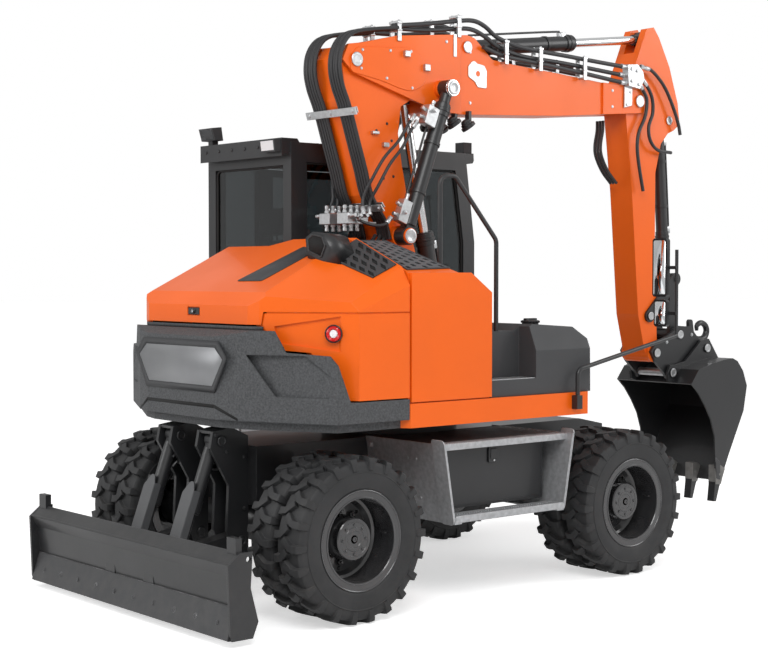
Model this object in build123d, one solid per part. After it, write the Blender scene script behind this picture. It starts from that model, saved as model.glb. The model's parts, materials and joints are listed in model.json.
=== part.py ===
from build123d import *
import math
import os

# Wheeled excavator with twin tyres, rear dozer blade, two-piece boom and backhoe bucket.
# Millimetres. X forward, Y to the left, Z up, wheels on Z = 0.
# Every X below is counted from the swing axis and moved by SWING_AXIS_X when a part is written.
SWING_AXIS_X = -552

# Running gear
WHEELBASE = 2400
REAR_AXLE_X = -1180
FRONT_AXLE_X = REAR_AXLE_X + WHEELBASE
TYRE_DIAMETER = 1000
TYRE_WIDTH = 235
TWIN_SPACING = 268
OUTER_TYRE_Y = 1060
LUGS_A_ROW = 22
LUG_DEPTH = 25
LUG_HALF = 26
LUG_BEND = 46
LUG_PAST_MIDDLE = 14
RIM_FLANGE_RADIUS = 301
BEAD_RADIUS = 258
RIM_WIDTH = 178
RIM_WALL = 8
FLANGE_THICK = 8
DISC_THICK = 12
SEAT_GAP = 0.3
HUB_RADIUS = 135
HUB_FLANGE_RADIUS = 170
HUB_CAP_RADIUS = 110
HUB_CAP_REACH = 150
RIM_HOLE_RADIUS = 12
RIM_HOLE_CIRCLE = 192
RIM_HOLES = 8
WHEEL_NUTS = 10
SPINDLE_RADIUS = 60
DIFFERENTIAL_RADIUS = 135
KINGPIN_Y = 600
KINGPIN_RADIUS = 24
KNUCKLE_BOSS_RADIUS = 66
TIE_ROD_BACK = 160
TIE_ROD_Y = KINGPIN_Y
RUNNING_FIT = 0.05

# Undercarriage frame
FRAME_HALF = 400
AXLE_TO_FRAME = 140
FRAME_BOTTOM = TYRE_DIAMETER / 2 + AXLE_TO_FRAME
FRAME_TOP = 1010
RING_RADIUS = 470
DECK_BOTTOM = 1140
TOWER_PLATE = 25
TOWER_CENTRE_Y = 225
TOWER_GAP_HALF = 62
STEP_OUTER_Y = 1170
STEP_PLATE = 8
STEP_TOP_Z = 1020
STEP_BOTTOM_Z = 520
STEP_TO_AXLE = 649
STEP_SLANT = 83
STEP_REAR_TOP_X = REAR_AXLE_X + STEP_TO_AXLE
STEP_REAR_BOTTOM_X = STEP_REAR_TOP_X + STEP_SLANT
STEP_FRONT_TOP_X = FRONT_AXLE_X - STEP_TO_AXLE + 41
STEP_FRONT_BOTTOM_X = STEP_FRONT_TOP_X - STEP_SLANT - 8
TREAD_SLOTS = 11
TOOL_BOX_FACE_Y = 985
TOOL_BOX_WALL = 4
TOOL_DOOR_THICK = 18

# Blade
BLADE_HALF = 1170
BLADE_FACE_X = -2130
BLADE_TOP_Z = 530
BLADE_BOTTOM_Z = 42
BLADE_PLATE = 14
BLADE_PIVOT = (-1450, 420)
BLADE_CYL_BASE = (-1600, 1050)
BLADE_CYL_ROD = (-1850, 360)
BLADE_PIN_RADIUS = 24

# Boom pins, as (X, Z)
BOOM_Y = -200
BOOM_FOOT = (40, 1640)
LIFT_BASE = (357, 1330)
LIFT_ROD = (-60, 3330)
UPPER_PIVOT = (-585, 3455)
ADJUST_BASE = (-230, 2320)
ADJUST_ROD = (150, 3315)
ARM_CYL_BASE = (430, 3630)
ARM_PIVOT = (2200, 3380)
ARM_CYL_ROD = (2395, 3880)
BUCKET_CYL_BASE = (2580, 3260)
ROCKER_PIVOT = (2360, 1745)
ROCKER_TOP = (2670, 2030)
ARM_FOOT = (2400, 1460)
LINK_PIN = (2675, 1595)
BUCKET_FRONT_PIN = (2960, 1481)
BUCKET_REAR_PIN = (2545, 1303)

# Hoses on the boom, their lines as (X, Z) and their clamps as (X, Z, slope in degrees)
HOSE_RADIUS = 11
HOSE_BEND = 90
HOSE_OFFSETS = (-122, -98, -74, 74, 98, 122)
BASE_HOSE_LINE = ((-311, 2321), (-351, 2418), (-462, 2579), (-573, 2932), (-653, 3152))
BASE_CLAMPS = ((-518, 2756, -107.5), (-406, 2498, -124.5))
UPPER_HOSE_OFFSETS = (-115, -91, 91, 115)
UPPER_HOSE_LINE = ((-520, 3592), (-241, 3662), (430, 3735), (515, 3722), (685, 3587), (883, 3570),
                   (1351, 3544), (1760, 3518))
UPPER_CLAMPS = ((100, 3700, -6.2), (1117, 3557, 3.2), (1600, 3528, 3.5))

# Boom widths
BASE_HALF = 140
CHEEK_GAP = 5
CHEEK_PLATE = 25
UPPER_HALF = 125
NOSE_HALF = 140
ARM_HALF = 110
FORK_GAP = 4
EYE_HALF = 50
EYE_GAP = 1
ADJUST_Y = 240
ADJUST_EYE_HALF = 45
ADJUST_CAP = 15
PIN_LARGE = 38
PIN_SMALL = 30
COUPLER_INNER = 135
COUPLER_PLATE = 25
BUCKET_EAR_INNER = 175
BUCKET_EAR_PLATE = 22
BUCKET_HALF = 380
BUCKET_WALL = 12
ROCKER_PLATE = 18
LINK_INNER = 68
LINK_PLATE = 30

# Upper structure
BODY_HALF = 1150
SILL_TOP = 1288
SILL_FRONT_X = 830
DOOR_REAR_X = -791
DOOR_FRONT_X = -115
BODY_TOP = 2080
FRAME_REAR_X = -1400
HOOD_LIP = 1768
HOOD_TAIL_X = -1575
HOOD_RIDGE = (-1500, 1962)
HOOD_CREST = (-836, 2297)
HOOD_CAB_TOP = 2255
HOOD_SEAM = 1845
TAIL_X = -1697
TAIL_CORNER_X = -1345
WEIGHT_TOP = 1735
WEIGHT_WALL = 110
SKIRT_TOP = 1317
HOOD_SIDE_BOTTOM = 1325
HOOD_STEPS = ((-1530, HOOD_LIP), (-1490, 1620), (-1360, 1605), (-1245, 1330), (-1245, 1300))
PANEL = 30
DOOR_PANEL = 25
PANEL_GAP = 8
VENT_ROWS = 4
VENTS_A_ROW = 4
VENT_PITCH = 42
VENT_STEP = 98
HOOD_HINGE = (-801, 2285)
HOOD_FRONT_X = -800
BULKHEAD = 28
CAB_RIGHT_Y = 140
CAB_LEFT_Y = 1130
CAB_REAR_X = -730
CAB_FRONT_X = 940
CAB_FLOOR_Z = 1300
CAB_ROOF_Z = 2950
PILLAR = 60
GLASS = 6
CAB_DOOR_HINGE_X = -262
CAB_DOOR_HINGE_Y = CAB_LEFT_Y + 16
DOOR_KNUCKLE_RADIUS = 12
DOOR_HINGE_HEIGHTS = (1500, 2640)
SHELF_INNER_Y = -560
HOUSING_CREST = 2285
TANK_TOP = 1700

# Mirrors on the front rail, as (foot, top, width)
MIRROR_POST_X = 1640
MIRRORS = ((1910, 2320, 130), (1700, 1890, 115))

parts = {}


def side_slab(outline, y_low, y_high):
    """Closed outline in X and Z, carried from y_low to y_high."""
    face = make_face(Polyline(*outline, close=True))
    return extrude(Plane.XZ.offset(-y_high) * face, y_high - y_low)


def plan_slab(outline, z_low, z_high):
    """Closed outline in X and Y, carried from z_low to z_high."""
    face = make_face(Polyline(*outline, close=True))
    return extrude(Pos(0, 0, z_low) * face, z_high - z_low)


def cross_slab(outline, x_low, x_high):
    """Closed outline in Y and Z, carried from x_low to x_high."""
    face = make_face(Polyline(*outline, close=True))
    return extrude(Plane.YZ.offset(x_low) * face, x_high - x_low)


def below(first, second, third, inset=0):
    """Space under the slanted plane through three points, moved inwards by the inset."""
    along = Vector(*second) - Vector(*first)
    up = along.cross(Vector(*third) - Vector(*first)).normalized()
    if up.Z < 0:
        up = up * -1
    facet = Plane(origin=Vector(*first), x_dir=along, z_dir=up)
    return facet * Pos(0, 0, -3000 - inset) * Box(12000, 12000, 6000)


def block(x_low, x_high, y_low, y_high, z_low, z_high):
    centre = Pos((x_low + x_high) / 2, (y_low + y_high) / 2, (z_low + z_high) / 2)
    return centre * Box(x_high - x_low, y_high - y_low, z_high - z_low)


def rod_y(point, radius, y_low, y_high):
    """Round bar along Y through the point (X, Z)."""
    return Pos(point[0], (y_low + y_high) / 2, point[1]) * Rot(90, 0, 0) * Cylinder(radius, y_high - y_low)


def rod_x(y, z, radius, x_low, x_high):
    return Pos((x_low + x_high) / 2, y, z) * Rot(0, 90, 0) * Cylinder(radius, x_high - x_low)


def rod_z(x, y, radius, z_low, z_high):
    return Pos(x, y, (z_low + z_high) / 2) * Cylinder(radius, z_high - z_low)


def turned_y(profile, x, y, z):
    """Profile of (radius, Y) points turned round the Y direction."""
    face = make_face(Polyline(*profile, close=True))
    return Pos(x, y, z) * revolve(face, Axis.Y, 360)


def mirrored(shape):
    return mirror(shape, Plane.XZ)


def both_sides(make_side):
    """A right-hand shape and its mirror image in the vertical middle plane."""
    shape = make_side()
    return shape + mirrored(shape)


def pair(y_inner, y_outer, make_slab):
    """The same slab on both sides of the boom's middle plane."""
    left = make_slab(BOOM_Y + y_inner, BOOM_Y + y_outer)
    right = make_slab(BOOM_Y - y_outer, BOOM_Y - y_inner)
    return left + right


def axis_frame(start, end, y):
    """Frame at start with local X along the axis to end and local Z across the machine."""
    dx = end[0] - start[0]
    dz = end[1] - start[1]
    return Plane(origin=(start[0], y, start[1]), x_dir=(dx, 0, dz), z_dir=(0, -1, 0))


def span(start, end):
    return math.hypot(end[0] - start[0], end[1] - start[1])


def bar(radius, start, end):
    """Round bar along local X."""
    return Pos((start + end) / 2, 0, 0) * Rot(0, 90, 0) * Cylinder(radius, end - start)


def barrel(base, tip, y, length, radius, rod_radius, eye_radius, pin_radius, eye_half):
    """Hydraulic cylinder tube with base eye, gland collar and a bore for the rod."""
    frame = axis_frame(base, tip, y)
    tube_start = 1.3 * eye_radius
    tube = bar(radius, tube_start, length)
    gland = bar(radius * 1.12, length - 90, length - 12)
    eye = Cylinder(eye_radius, 2 * eye_half)
    neck = Pos(tube_start / 2 + 5, 0, 0) * Box(tube_start + 10, 1.4 * radius, 2 * min(eye_half, 0.7 * radius))
    bore = bar(rod_radius + RUNNING_FIT, tube_start + 15, length + 1)
    pin_hole = Cylinder(pin_radius + RUNNING_FIT, 2 * eye_half + 2)
    return frame * (tube + gland + eye + neck - bore - pin_hole)


def ram(base, tip, y, inside, rod_radius, eye_radius, eye_half):
    """Rod with its eye at the tip; it starts inside the barrel, that far from the base pin."""
    frame = axis_frame(base, tip, y)
    reach = span(base, tip)
    rod = bar(rod_radius, inside, reach - eye_radius * 0.5)
    neck = bar(rod_radius * 1.25, reach - eye_radius * 1.7, reach - eye_radius * 0.5)
    eye = Pos(reach, 0, 0) * Cylinder(eye_radius, 2 * eye_half)
    return frame * (rod + neck + eye)


# Tyres and wheels: twin tyres on two rims that share one hub

def tyre_profile():
    """Section of the space that the tyre fills, as (radius, offset), out to the lugs' tips."""
    half = TYRE_WIDTH / 2
    bead = RIM_WIDTH / 2 - SEAT_GAP
    crown = TYRE_DIAMETER / 2
    right = [
        (BEAD_RADIUS, -bead),
        (RIM_FLANGE_RADIUS + 12, -bead),
        (RIM_FLANGE_RADIUS + 60, -half),
        (crown - 90, -half),
        (crown - 25, -half + 12),
        (crown, -half + 30),
    ]
    return right + [(radius, -offset) for radius, offset in reversed(right)]


def carcass_profile():
    """Section of the tyre between its lugs."""
    half = TYRE_WIDTH / 2
    base = TYRE_DIAMETER / 2 - LUG_DEPTH
    side = tyre_profile()[:4]
    right = side + [(base - 32, -half + 9), (base - 5, -half + 20), (base, -half + 42)]
    left = [(radius, -offset) for radius, offset in reversed(right)]
    return right + left


def tread_lug():
    """One lug at the top of the wheel: straight in from the shoulder, then bent past the middle."""
    half = TYRE_WIDTH / 2
    crown = TYRE_DIAMETER / 2
    bend = half - LUG_BEND - LUG_HALF / 2
    lean = bend + LUG_PAST_MIDDLE
    plan = [
        (-LUG_HALF, half + 1),
        (LUG_HALF, half + 1),
        (LUG_HALF - 2, bend + 10),
        (LUG_HALF - 11 + 0.82 * lean, -LUG_PAST_MIDDLE + 13),
        (-LUG_HALF + 11 + 0.82 * lean, -LUG_PAST_MIDDLE - 13),
        (-LUG_HALF + 2, bend - 14),
    ]
    return plan_slab(plan, crown - 80, crown + 10) & turned_y(tyre_profile(), 0, 0, 0)


def tyre():
    """One tyre round the Y axis: the carcass and its two rows of lugs, half a step apart."""
    step = 360 / LUGS_A_ROW
    lug = tread_lug()
    left = [Rot(0, k * step, 0) * lug for k in range(LUGS_A_ROW)]
    right = [Rot(0, (k + 0.5) * step, 0) * mirrored(lug) for k in range(LUGS_A_ROW)]
    return turned_y(carcass_profile(), 0, 0, 0) + left + right


def twin_tyres(axle_x, one):
    """Right-hand pair of the given tyre, outer tyre first."""
    outer = Pos(axle_x, -OUTER_TYRE_Y, TYRE_DIAMETER / 2) * one
    inner = Pos(axle_x, -(OUTER_TYRE_Y - TWIN_SPACING), TYRE_DIAMETER / 2) * one
    return outer + inner


def rim_profile():
    """One rim: barrel, two flanges and the dish that reaches its disc towards the twin."""
    half = RIM_WIDTH / 2
    seat = BEAD_RADIUS - SEAT_GAP
    disc_outer = TWIN_SPACING / 2 - 1
    disc_inner = disc_outer - DISC_THICK
    return [
        (seat, -half),
        (RIM_FLANGE_RADIUS, -half),
        (RIM_FLANGE_RADIUS, -half - FLANGE_THICK),
        (seat - RIM_WALL, -half - FLANGE_THICK),
        (seat - RIM_WALL, half),
        (seat - 3 * RIM_WALL, half + FLANGE_THICK),
        (210, disc_inner),
        (SPINDLE_RADIUS + 30, disc_inner),
        (SPINDLE_RADIUS + 30, disc_outer),
        (218, disc_outer),
        (seat, half + FLANGE_THICK + 6),
        (RIM_FLANGE_RADIUS, half + FLANGE_THICK),
        (RIM_FLANGE_RADIUS, half),
        (seat, half),
    ]


def wheel_pair(axle_x):
    """Right-hand twin rims, hub and wheel nuts."""
    centre = Pos(axle_x, 0, TYRE_DIAMETER / 2)
    middle = OUTER_TYRE_Y - TWIN_SPACING / 2
    outer = turned_y(rim_profile(), 0, -OUTER_TYRE_Y, 0)
    inner_profile = [(radius, -offset) for radius, offset in rim_profile()]
    inner = turned_y(inner_profile, 0, -(OUTER_TYRE_Y - TWIN_SPACING), 0)
    flange_y = middle - 1 - DISC_THICK
    hub = [
        (0, -(middle + HUB_CAP_REACH)),
        (HUB_CAP_RADIUS - 8, -(middle + HUB_CAP_REACH)),
        (HUB_CAP_RADIUS, -(middle + HUB_CAP_REACH - 8)),
        (HUB_CAP_RADIUS, -(middle + 90)),
        (SPINDLE_RADIUS + 29.7, -(middle + 90)),
        (SPINDLE_RADIUS + 29.7, -flange_y),
        (HUB_FLANGE_RADIUS, -flange_y),
        (HUB_FLANGE_RADIUS, -(flange_y - 18)),
        (SPINDLE_RADIUS + RUNNING_FIT, -(flange_y - 18)),
        (SPINDLE_RADIUS + RUNNING_FIT, -(middle + 60)),
        (0, -(middle + 60)),
    ]
    cap = [
        (SPINDLE_RADIUS + 30, -(middle + 1 + DISC_THICK)),
        (HUB_RADIUS, -(middle + 1 + DISC_THICK)),
        (HUB_RADIUS, -(middle + 70)),
        (HUB_RADIUS - 15, -(middle + 90)),
        (SPINDLE_RADIUS + 30, -(middle + 90)),
    ]
    solid_hub = turned_y(hub, 0, 0, 0) + turned_y(cap, 0, 0, 0)
    nut = Pos(0, -(middle + 1 + DISC_THICK + 12), HUB_FLANGE_RADIUS - 17) * Rot(90, 0, 0) * Cylinder(13, 24)
    nuts = [Rot(0, k * 360 / WHEEL_NUTS, 0) * nut for k in range(WHEEL_NUTS)]
    hole = Pos(0, -middle, RIM_HOLE_CIRCLE) * Rot(90, 0, 0) * Cylinder(RIM_HOLE_RADIUS, 60)
    holes = [Rot(0, k * 360 / RIM_HOLES, 0) * hole for k in range(RIM_HOLES)]
    return centre * ((outer - holes) + (inner - holes) + solid_hub + Compound(nuts))


# Axles, knuckles and steering

def rear_axle_beam():
    z = TYRE_DIAMETER / 2
    spindle_end = OUTER_TYRE_Y - TWIN_SPACING / 2 + 55
    half_beam = [
        (0, 0),
        (DIFFERENTIAL_RADIUS, 0),
        (DIFFERENTIAL_RADIUS, -90),
        (95, -220),
        (80, -620),
        (150, -640),
        (150, -830),
        (SPINDLE_RADIUS, -850),
        (SPINDLE_RADIUS, -spindle_end),
        (0, -spindle_end),
    ]
    side = turned_y(half_beam, REAR_AXLE_X, 0, z)
    mount = block(REAR_AXLE_X - 70, REAR_AXLE_X + 70, -330, -250, z + 60, FRAME_BOTTOM - 0.3)
    return both_sides(lambda: side + mount)


def front_axle_beam():
    z = TYRE_DIAMETER / 2
    half_beam = [
        (0, 0),
        (DIFFERENTIAL_RADIUS, 0),
        (DIFFERENTIAL_RADIUS, -80),
        (85, -200),
        (70, -KINGPIN_Y + 40),
        (0, -KINGPIN_Y + 40),
    ]
    side = turned_y(half_beam, FRONT_AXLE_X, 0, z)
    boss = rod_z(FRONT_AXLE_X, -KINGPIN_Y, KNUCKLE_BOSS_RADIUS, z - 82, z + 82)
    pin = rod_z(FRONT_AXLE_X, -KINGPIN_Y, KINGPIN_RADIUS, z - 125, z + 125)
    cradle = block(FRONT_AXLE_X - 60, FRONT_AXLE_X + 60, -60, 0, z + 60, FRAME_BOTTOM - 0.3)
    return both_sides(lambda: side + boss + pin + cradle)


def knuckle():
    """Right-hand steering knuckle: fork round the beam end, spindle and steering arm."""
    z = TYRE_DIAMETER / 2
    spindle_end = OUTER_TYRE_Y - TWIN_SPACING / 2 + 55
    fork = rod_z(FRONT_AXLE_X, -KINGPIN_Y, KNUCKLE_BOSS_RADIUS, z - 124, z + 124)
    fork += block(FRONT_AXLE_X - 55, FRONT_AXLE_X + 55, -720, -KINGPIN_Y, z - 124, z + 124)
    room = rod_z(FRONT_AXLE_X, -KINGPIN_Y, KNUCKLE_BOSS_RADIUS + 8, z - 83, z + 83)
    room += block(FRONT_AXLE_X - 90, FRONT_AXLE_X + 90, -KINGPIN_Y, 0, z - 83, z + 83)
    hole = rod_z(FRONT_AXLE_X, -KINGPIN_Y, KINGPIN_RADIUS + RUNNING_FIT, z - 130, z + 130)
    body = [
        (0, -690),
        (150, -700),
        (150, -830),
        (SPINDLE_RADIUS, -850),
        (SPINDLE_RADIUS, -spindle_end),
        (0, -spindle_end),
    ]
    arm_outline = [
        (FRONT_AXLE_X + 30, -KINGPIN_Y - 60),
        (FRONT_AXLE_X - TIE_ROD_BACK - 25, -TIE_ROD_Y - 22),
        (FRONT_AXLE_X - TIE_ROD_BACK - 25, -TIE_ROD_Y + 22),
        (FRONT_AXLE_X - 60, -KINGPIN_Y + 30),
        (FRONT_AXLE_X + 30, -KINGPIN_Y + 30),
    ]
    arm = plan_slab(arm_outline, z - 124, z - 98)
    shape = fork - room + turned_y(body, FRONT_AXLE_X, 0, z) + arm
    return shape - hole


def tie_rod():
    """Track rod with its two ball joints on top of the steering arms."""
    z = TYRE_DIAMETER / 2 - 98
    x = FRONT_AXLE_X - TIE_ROD_BACK
    bar_z = z + 30
    rod = Pos(x, 0, bar_z) * Rot(90, 0, 0) * Cylinder(16, 2 * TIE_ROD_Y)
    left_joint = rod_z(x, TIE_ROD_Y, 24, z + 0.5, bar_z + 24)
    right_joint = rod_z(x, -TIE_ROD_Y, 24, z + 0.5, bar_z + 24)
    return rod + left_joint + right_joint


def driveline():
    """Gearbox under the frame and the cardan shafts to both axles."""
    z = TYRE_DIAMETER / 2
    housing = block(-170, 170, -130, 130, z - 60, FRAME_BOTTOM - 0.3)
    motor = rod_x(60, FRAME_BOTTOM - 70, 65, -330, -170)
    rear_shaft = rod_x(0, z, 32, REAR_AXLE_X + DIFFERENTIAL_RADIUS + SEAT_GAP, -170)
    front_shaft = rod_x(0, z, 32, 170, FRONT_AXLE_X - DIFFERENTIAL_RADIUS - SEAT_GAP)
    return housing + motor + rear_shaft + front_shaft


# Undercarriage frame with swing ring, blade towers and front end

def chassis_frame():
    side = [
        (FRAME_REAR_X, FRAME_TOP),
        (FRAME_REAR_X, FRAME_BOTTOM),
        (FRONT_AXLE_X + 280, FRAME_BOTTOM),
        (FRONT_AXLE_X + 520, FRAME_BOTTOM + 120),
        (FRONT_AXLE_X + 520, FRAME_TOP - 50),
        (FRONT_AXLE_X + 280, FRAME_TOP),
    ]
    body = side_slab(side, -FRAME_HALF, FRAME_HALF)
    ring = rod_z(0, 0, RING_RADIUS, FRAME_TOP - 1, DECK_BOTTOM - SEAT_GAP)
    front = FRONT_AXLE_X + 520
    eye = side_slab([(front - 40, 700), (front - 40, 780), (front + 50, 780), (front + 50, 700)], -330, -305)
    eye -= rod_y((front + 18, 740), 20, -340, -300)
    return body + ring + eye + mirrored(eye)


def blade_tower():
    """Right-hand pair of plates behind the frame that holds the blade arm and its cylinder."""
    rear = FRAME_REAR_X - SEAT_GAP
    outline = [
        (rear, FRAME_TOP + 60),
        (rear, 340),
        (-1500, 340),
        (-1560, 480),
        (-1545, 770),
        (-1680, 1010),
        (-1660, 1110),
        (-1520, 1130),
    ]
    inner = TOWER_CENTRE_Y - TOWER_GAP_HALF
    outer = TOWER_CENTRE_Y + TOWER_GAP_HALF
    plates = side_slab(outline, -inner, -inner + TOWER_PLATE)
    plates += side_slab(outline, -outer - TOWER_PLATE, -outer)
    cap = [(-1660, 1110), (-1520, 1130), (rear, FRAME_TOP + 60), (rear, FRAME_TOP + 35), (-1515, 1105), (-1655, 1092)]
    plates += side_slab(cap, -outer - TOWER_PLATE, -inner + TOWER_PLATE)
    plates += block(rear - 20, rear, -outer - TOWER_PLATE, -inner + TOWER_PLATE, 520, FRAME_TOP)
    plates += rod_y(BLADE_CYL_BASE, BLADE_PIN_RADIUS, -outer - TOWER_PLATE - 8, -inner + TOWER_PLATE)
    plates += rod_y(BLADE_PIVOT, BLADE_PIN_RADIUS, -outer - TOWER_PLATE, -inner + TOWER_PLATE)
    return plates


def step_frames():
    """Galvanised side plates and two slotted treads on each side."""
    rear = [
        (STEP_REAR_TOP_X, STEP_TOP_Z),
        (STEP_REAR_BOTTOM_X, STEP_BOTTOM_Z),
        (STEP_REAR_BOTTOM_X + 60, STEP_BOTTOM_Z),
        (STEP_REAR_BOTTOM_X + 60, STEP_BOTTOM_Z + STEP_PLATE),
        (STEP_REAR_BOTTOM_X + STEP_PLATE, STEP_BOTTOM_Z + STEP_PLATE),
        (STEP_REAR_TOP_X + STEP_PLATE, STEP_TOP_Z),
    ]
    front = [
        (STEP_FRONT_TOP_X, STEP_TOP_Z),
        (STEP_FRONT_BOTTOM_X, STEP_BOTTOM_Z),
        (STEP_FRONT_BOTTOM_X - 60, STEP_BOTTOM_Z),
        (STEP_FRONT_BOTTOM_X - 60, STEP_BOTTOM_Z + STEP_PLATE),
        (STEP_FRONT_BOTTOM_X - STEP_PLATE, STEP_BOTTOM_Z + STEP_PLATE),
        (STEP_FRONT_TOP_X - STEP_PLATE, STEP_TOP_Z),
    ]
    plates = side_slab(rear, -STEP_OUTER_Y, -FRAME_HALF - SEAT_GAP)
    plates += side_slab(front, -STEP_OUTER_Y, -FRAME_HALF - SEAT_GAP)
    lower_tread = block(STEP_REAR_BOTTOM_X + 1, STEP_FRONT_BOTTOM_X - 1, -STEP_OUTER_Y, -TOOL_BOX_FACE_Y - 30,
                        STEP_BOTTOM_Z + STEP_PLATE, STEP_BOTTOM_Z + 45)
    upper_tread = block(STEP_REAR_TOP_X + 6, STEP_FRONT_TOP_X - 6, -STEP_OUTER_Y + 60, -RING_RADIUS - 10,
                        STEP_TOP_Z - 30, STEP_TOP_Z - 6)
    pitch = (STEP_FRONT_TOP_X - STEP_REAR_TOP_X - 60) / TREAD_SLOTS
    slots = []
    for k in range(TREAD_SLOTS):
        x = STEP_REAR_TOP_X + 30 + (k + 0.5) * pitch
        for y in (-STEP_OUTER_Y + 95, -STEP_OUTER_Y + 145):
            slots.append(block(x - 0.34 * pitch, x + 0.34 * pitch, y - 13, y + 13, STEP_TOP_Z - 40, STEP_TOP_Z))
    shape = plates + lower_tread + (upper_tread - slots)
    return both_sides(lambda: shape)


def tool_box_span():
    return STEP_REAR_TOP_X + 110, STEP_FRONT_BOTTOM_X - 30


def tool_boxes():
    """Black boxes between the step plates, open towards their doors."""
    x_low, x_high = tool_box_span()
    z_low = STEP_BOTTOM_Z + 70
    z_high = STEP_TOP_Z - 36
    outer = block(x_low, x_high, -TOOL_BOX_FACE_Y, -FRAME_HALF - 20, z_low, z_high)
    wall = TOOL_BOX_WALL
    inner = block(x_low + wall, x_high - wall, -TOOL_BOX_FACE_Y - 1, -FRAME_HALF - 20 - wall,
                  z_low + wall, z_high - wall)
    bracket = block(x_low + 60, x_high - 60, -FRAME_HALF - 21, -FRAME_HALF - SEAT_GAP, z_low + 120, z_high - 40)
    shape = outer - inner + bracket
    return both_sides(lambda: shape)


def tool_box_door():
    """Right-hand door, hinged along its lower edge."""
    x_low, x_high = tool_box_span()
    z_low = STEP_BOTTOM_Z + 70
    z_high = STEP_TOP_Z - 36
    y_face = -TOOL_BOX_FACE_Y - SEAT_GAP
    leaf = block(x_low, x_high, y_face - TOOL_DOOR_THICK, y_face, z_low, z_high)
    latch = Pos((x_low + x_high) / 2, y_face - TOOL_DOOR_THICK, z_high - 75) * Rot(90, 0, 0) * Cylinder(42, 16)
    return leaf + latch


# Dozer blade

def blade():
    curve = [
        (BLADE_FACE_X + 8, BLADE_BOTTOM_Z),
        (BLADE_FACE_X + 66, 227),
        (BLADE_FACE_X + 46, 393),
        (BLADE_FACE_X, 470),
        (BLADE_FACE_X + 10, 478),
        (BLADE_FACE_X + 46 + BLADE_PLATE, 410),
        (BLADE_FACE_X + 66 + BLADE_PLATE, 227),
        (BLADE_FACE_X + 30, BLADE_BOTTOM_Z),
    ]
    top = [
        (BLADE_FACE_X, 466),
        (BLADE_FACE_X + 75, BLADE_TOP_Z),
        (BLADE_FACE_X + 90, BLADE_TOP_Z - 8),
        (BLADE_FACE_X + 16, 460),
    ]
    end = [
        (BLADE_FACE_X + 10, BLADE_BOTTOM_Z + 30),
        (BLADE_FACE_X - 5, 466),
        (BLADE_FACE_X + 75, BLADE_TOP_Z),
        (BLADE_FACE_X + 160, BLADE_TOP_Z),
        (BLADE_FACE_X + 146, 327),
        (BLADE_FACE_X + 198, 132),
        (BLADE_FACE_X + 160, BLADE_BOTTOM_Z),
        (BLADE_FACE_X + 20, BLADE_BOTTOM_Z),
    ]
    panel = side_slab(curve, -BLADE_HALF + 20, BLADE_HALF - 20)
    panel += side_slab(top, -BLADE_HALF + 20, BLADE_HALF - 20)
    plates = side_slab(end, -BLADE_HALF, -BLADE_HALF + 20)
    plates -= rod_y((BLADE_FACE_X + 132, 489), 16, -BLADE_HALF - 1, -BLADE_HALF + 21)
    arm = [
        (BLADE_FACE_X + 60, 200),
        (BLADE_FACE_X + 60, 400),
        (BLADE_CYL_ROD[0] - 40, 420),
        (BLADE_CYL_ROD[0] + 60, 410),
        (BLADE_PIVOT[0], BLADE_PIVOT[1] + 45),
        (BLADE_PIVOT[0] + 40, BLADE_PIVOT[1]),
        (BLADE_PIVOT[0], BLADE_PIVOT[1] - 45),
        (BLADE_CYL_ROD[0] + 60, 270),
        (BLADE_CYL_ROD[0] - 60, 230),
    ]
    half = TOWER_GAP_HALF - 6
    arms = side_slab(arm, -TOWER_CENTRE_Y - half, -TOWER_CENTRE_Y + half)
    slot = [
        (BLADE_CYL_ROD[0] - 75, 700),
        (BLADE_CYL_ROD[0] - 75, 275),
        (BLADE_CYL_ROD[0] + 75, 275),
        (BLADE_CYL_ROD[0] + 140, 700),
    ]
    arms -= side_slab(slot, -TOWER_CENTRE_Y - 32, -TOWER_CENTRE_Y + 32)
    arms -= rod_y(BLADE_PIVOT, BLADE_PIN_RADIUS + RUNNING_FIT, -TOWER_CENTRE_Y - half - 1, -TOWER_CENTRE_Y + half + 1)
    lug = block(BLADE_FACE_X + 60, BLADE_FACE_X + 100, -BLADE_HALF + 20, -BLADE_HALF + 110, 520, 610)
    right = plates + arms + lug
    return panel + right + mirrored(right)


def blade_barrel():
    return barrel(BLADE_CYL_BASE, BLADE_CYL_ROD, -TOWER_CENTRE_Y, 470, 42, 25, 42, BLADE_PIN_RADIUS, 40)


def blade_ram():
    """Rod, eye and the folded guard that covers it."""
    rod = ram(BLADE_CYL_BASE, BLADE_CYL_ROD, -TOWER_CENTRE_Y, 240, 25, 38, 30)
    frame = axis_frame(BLADE_CYL_BASE, BLADE_CYL_ROD, -TOWER_CENTRE_Y)
    reach = span(BLADE_CYL_BASE, BLADE_CYL_ROD)
    face = Pos(reach - 260, -62, 0) * Box(370, 8, 90)
    bracket = Pos(reach - 86, -42, 0) * Box(22, 44, 50)
    return rod + frame * (face + bracket)


# Turntable, counterweight and engine

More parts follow.
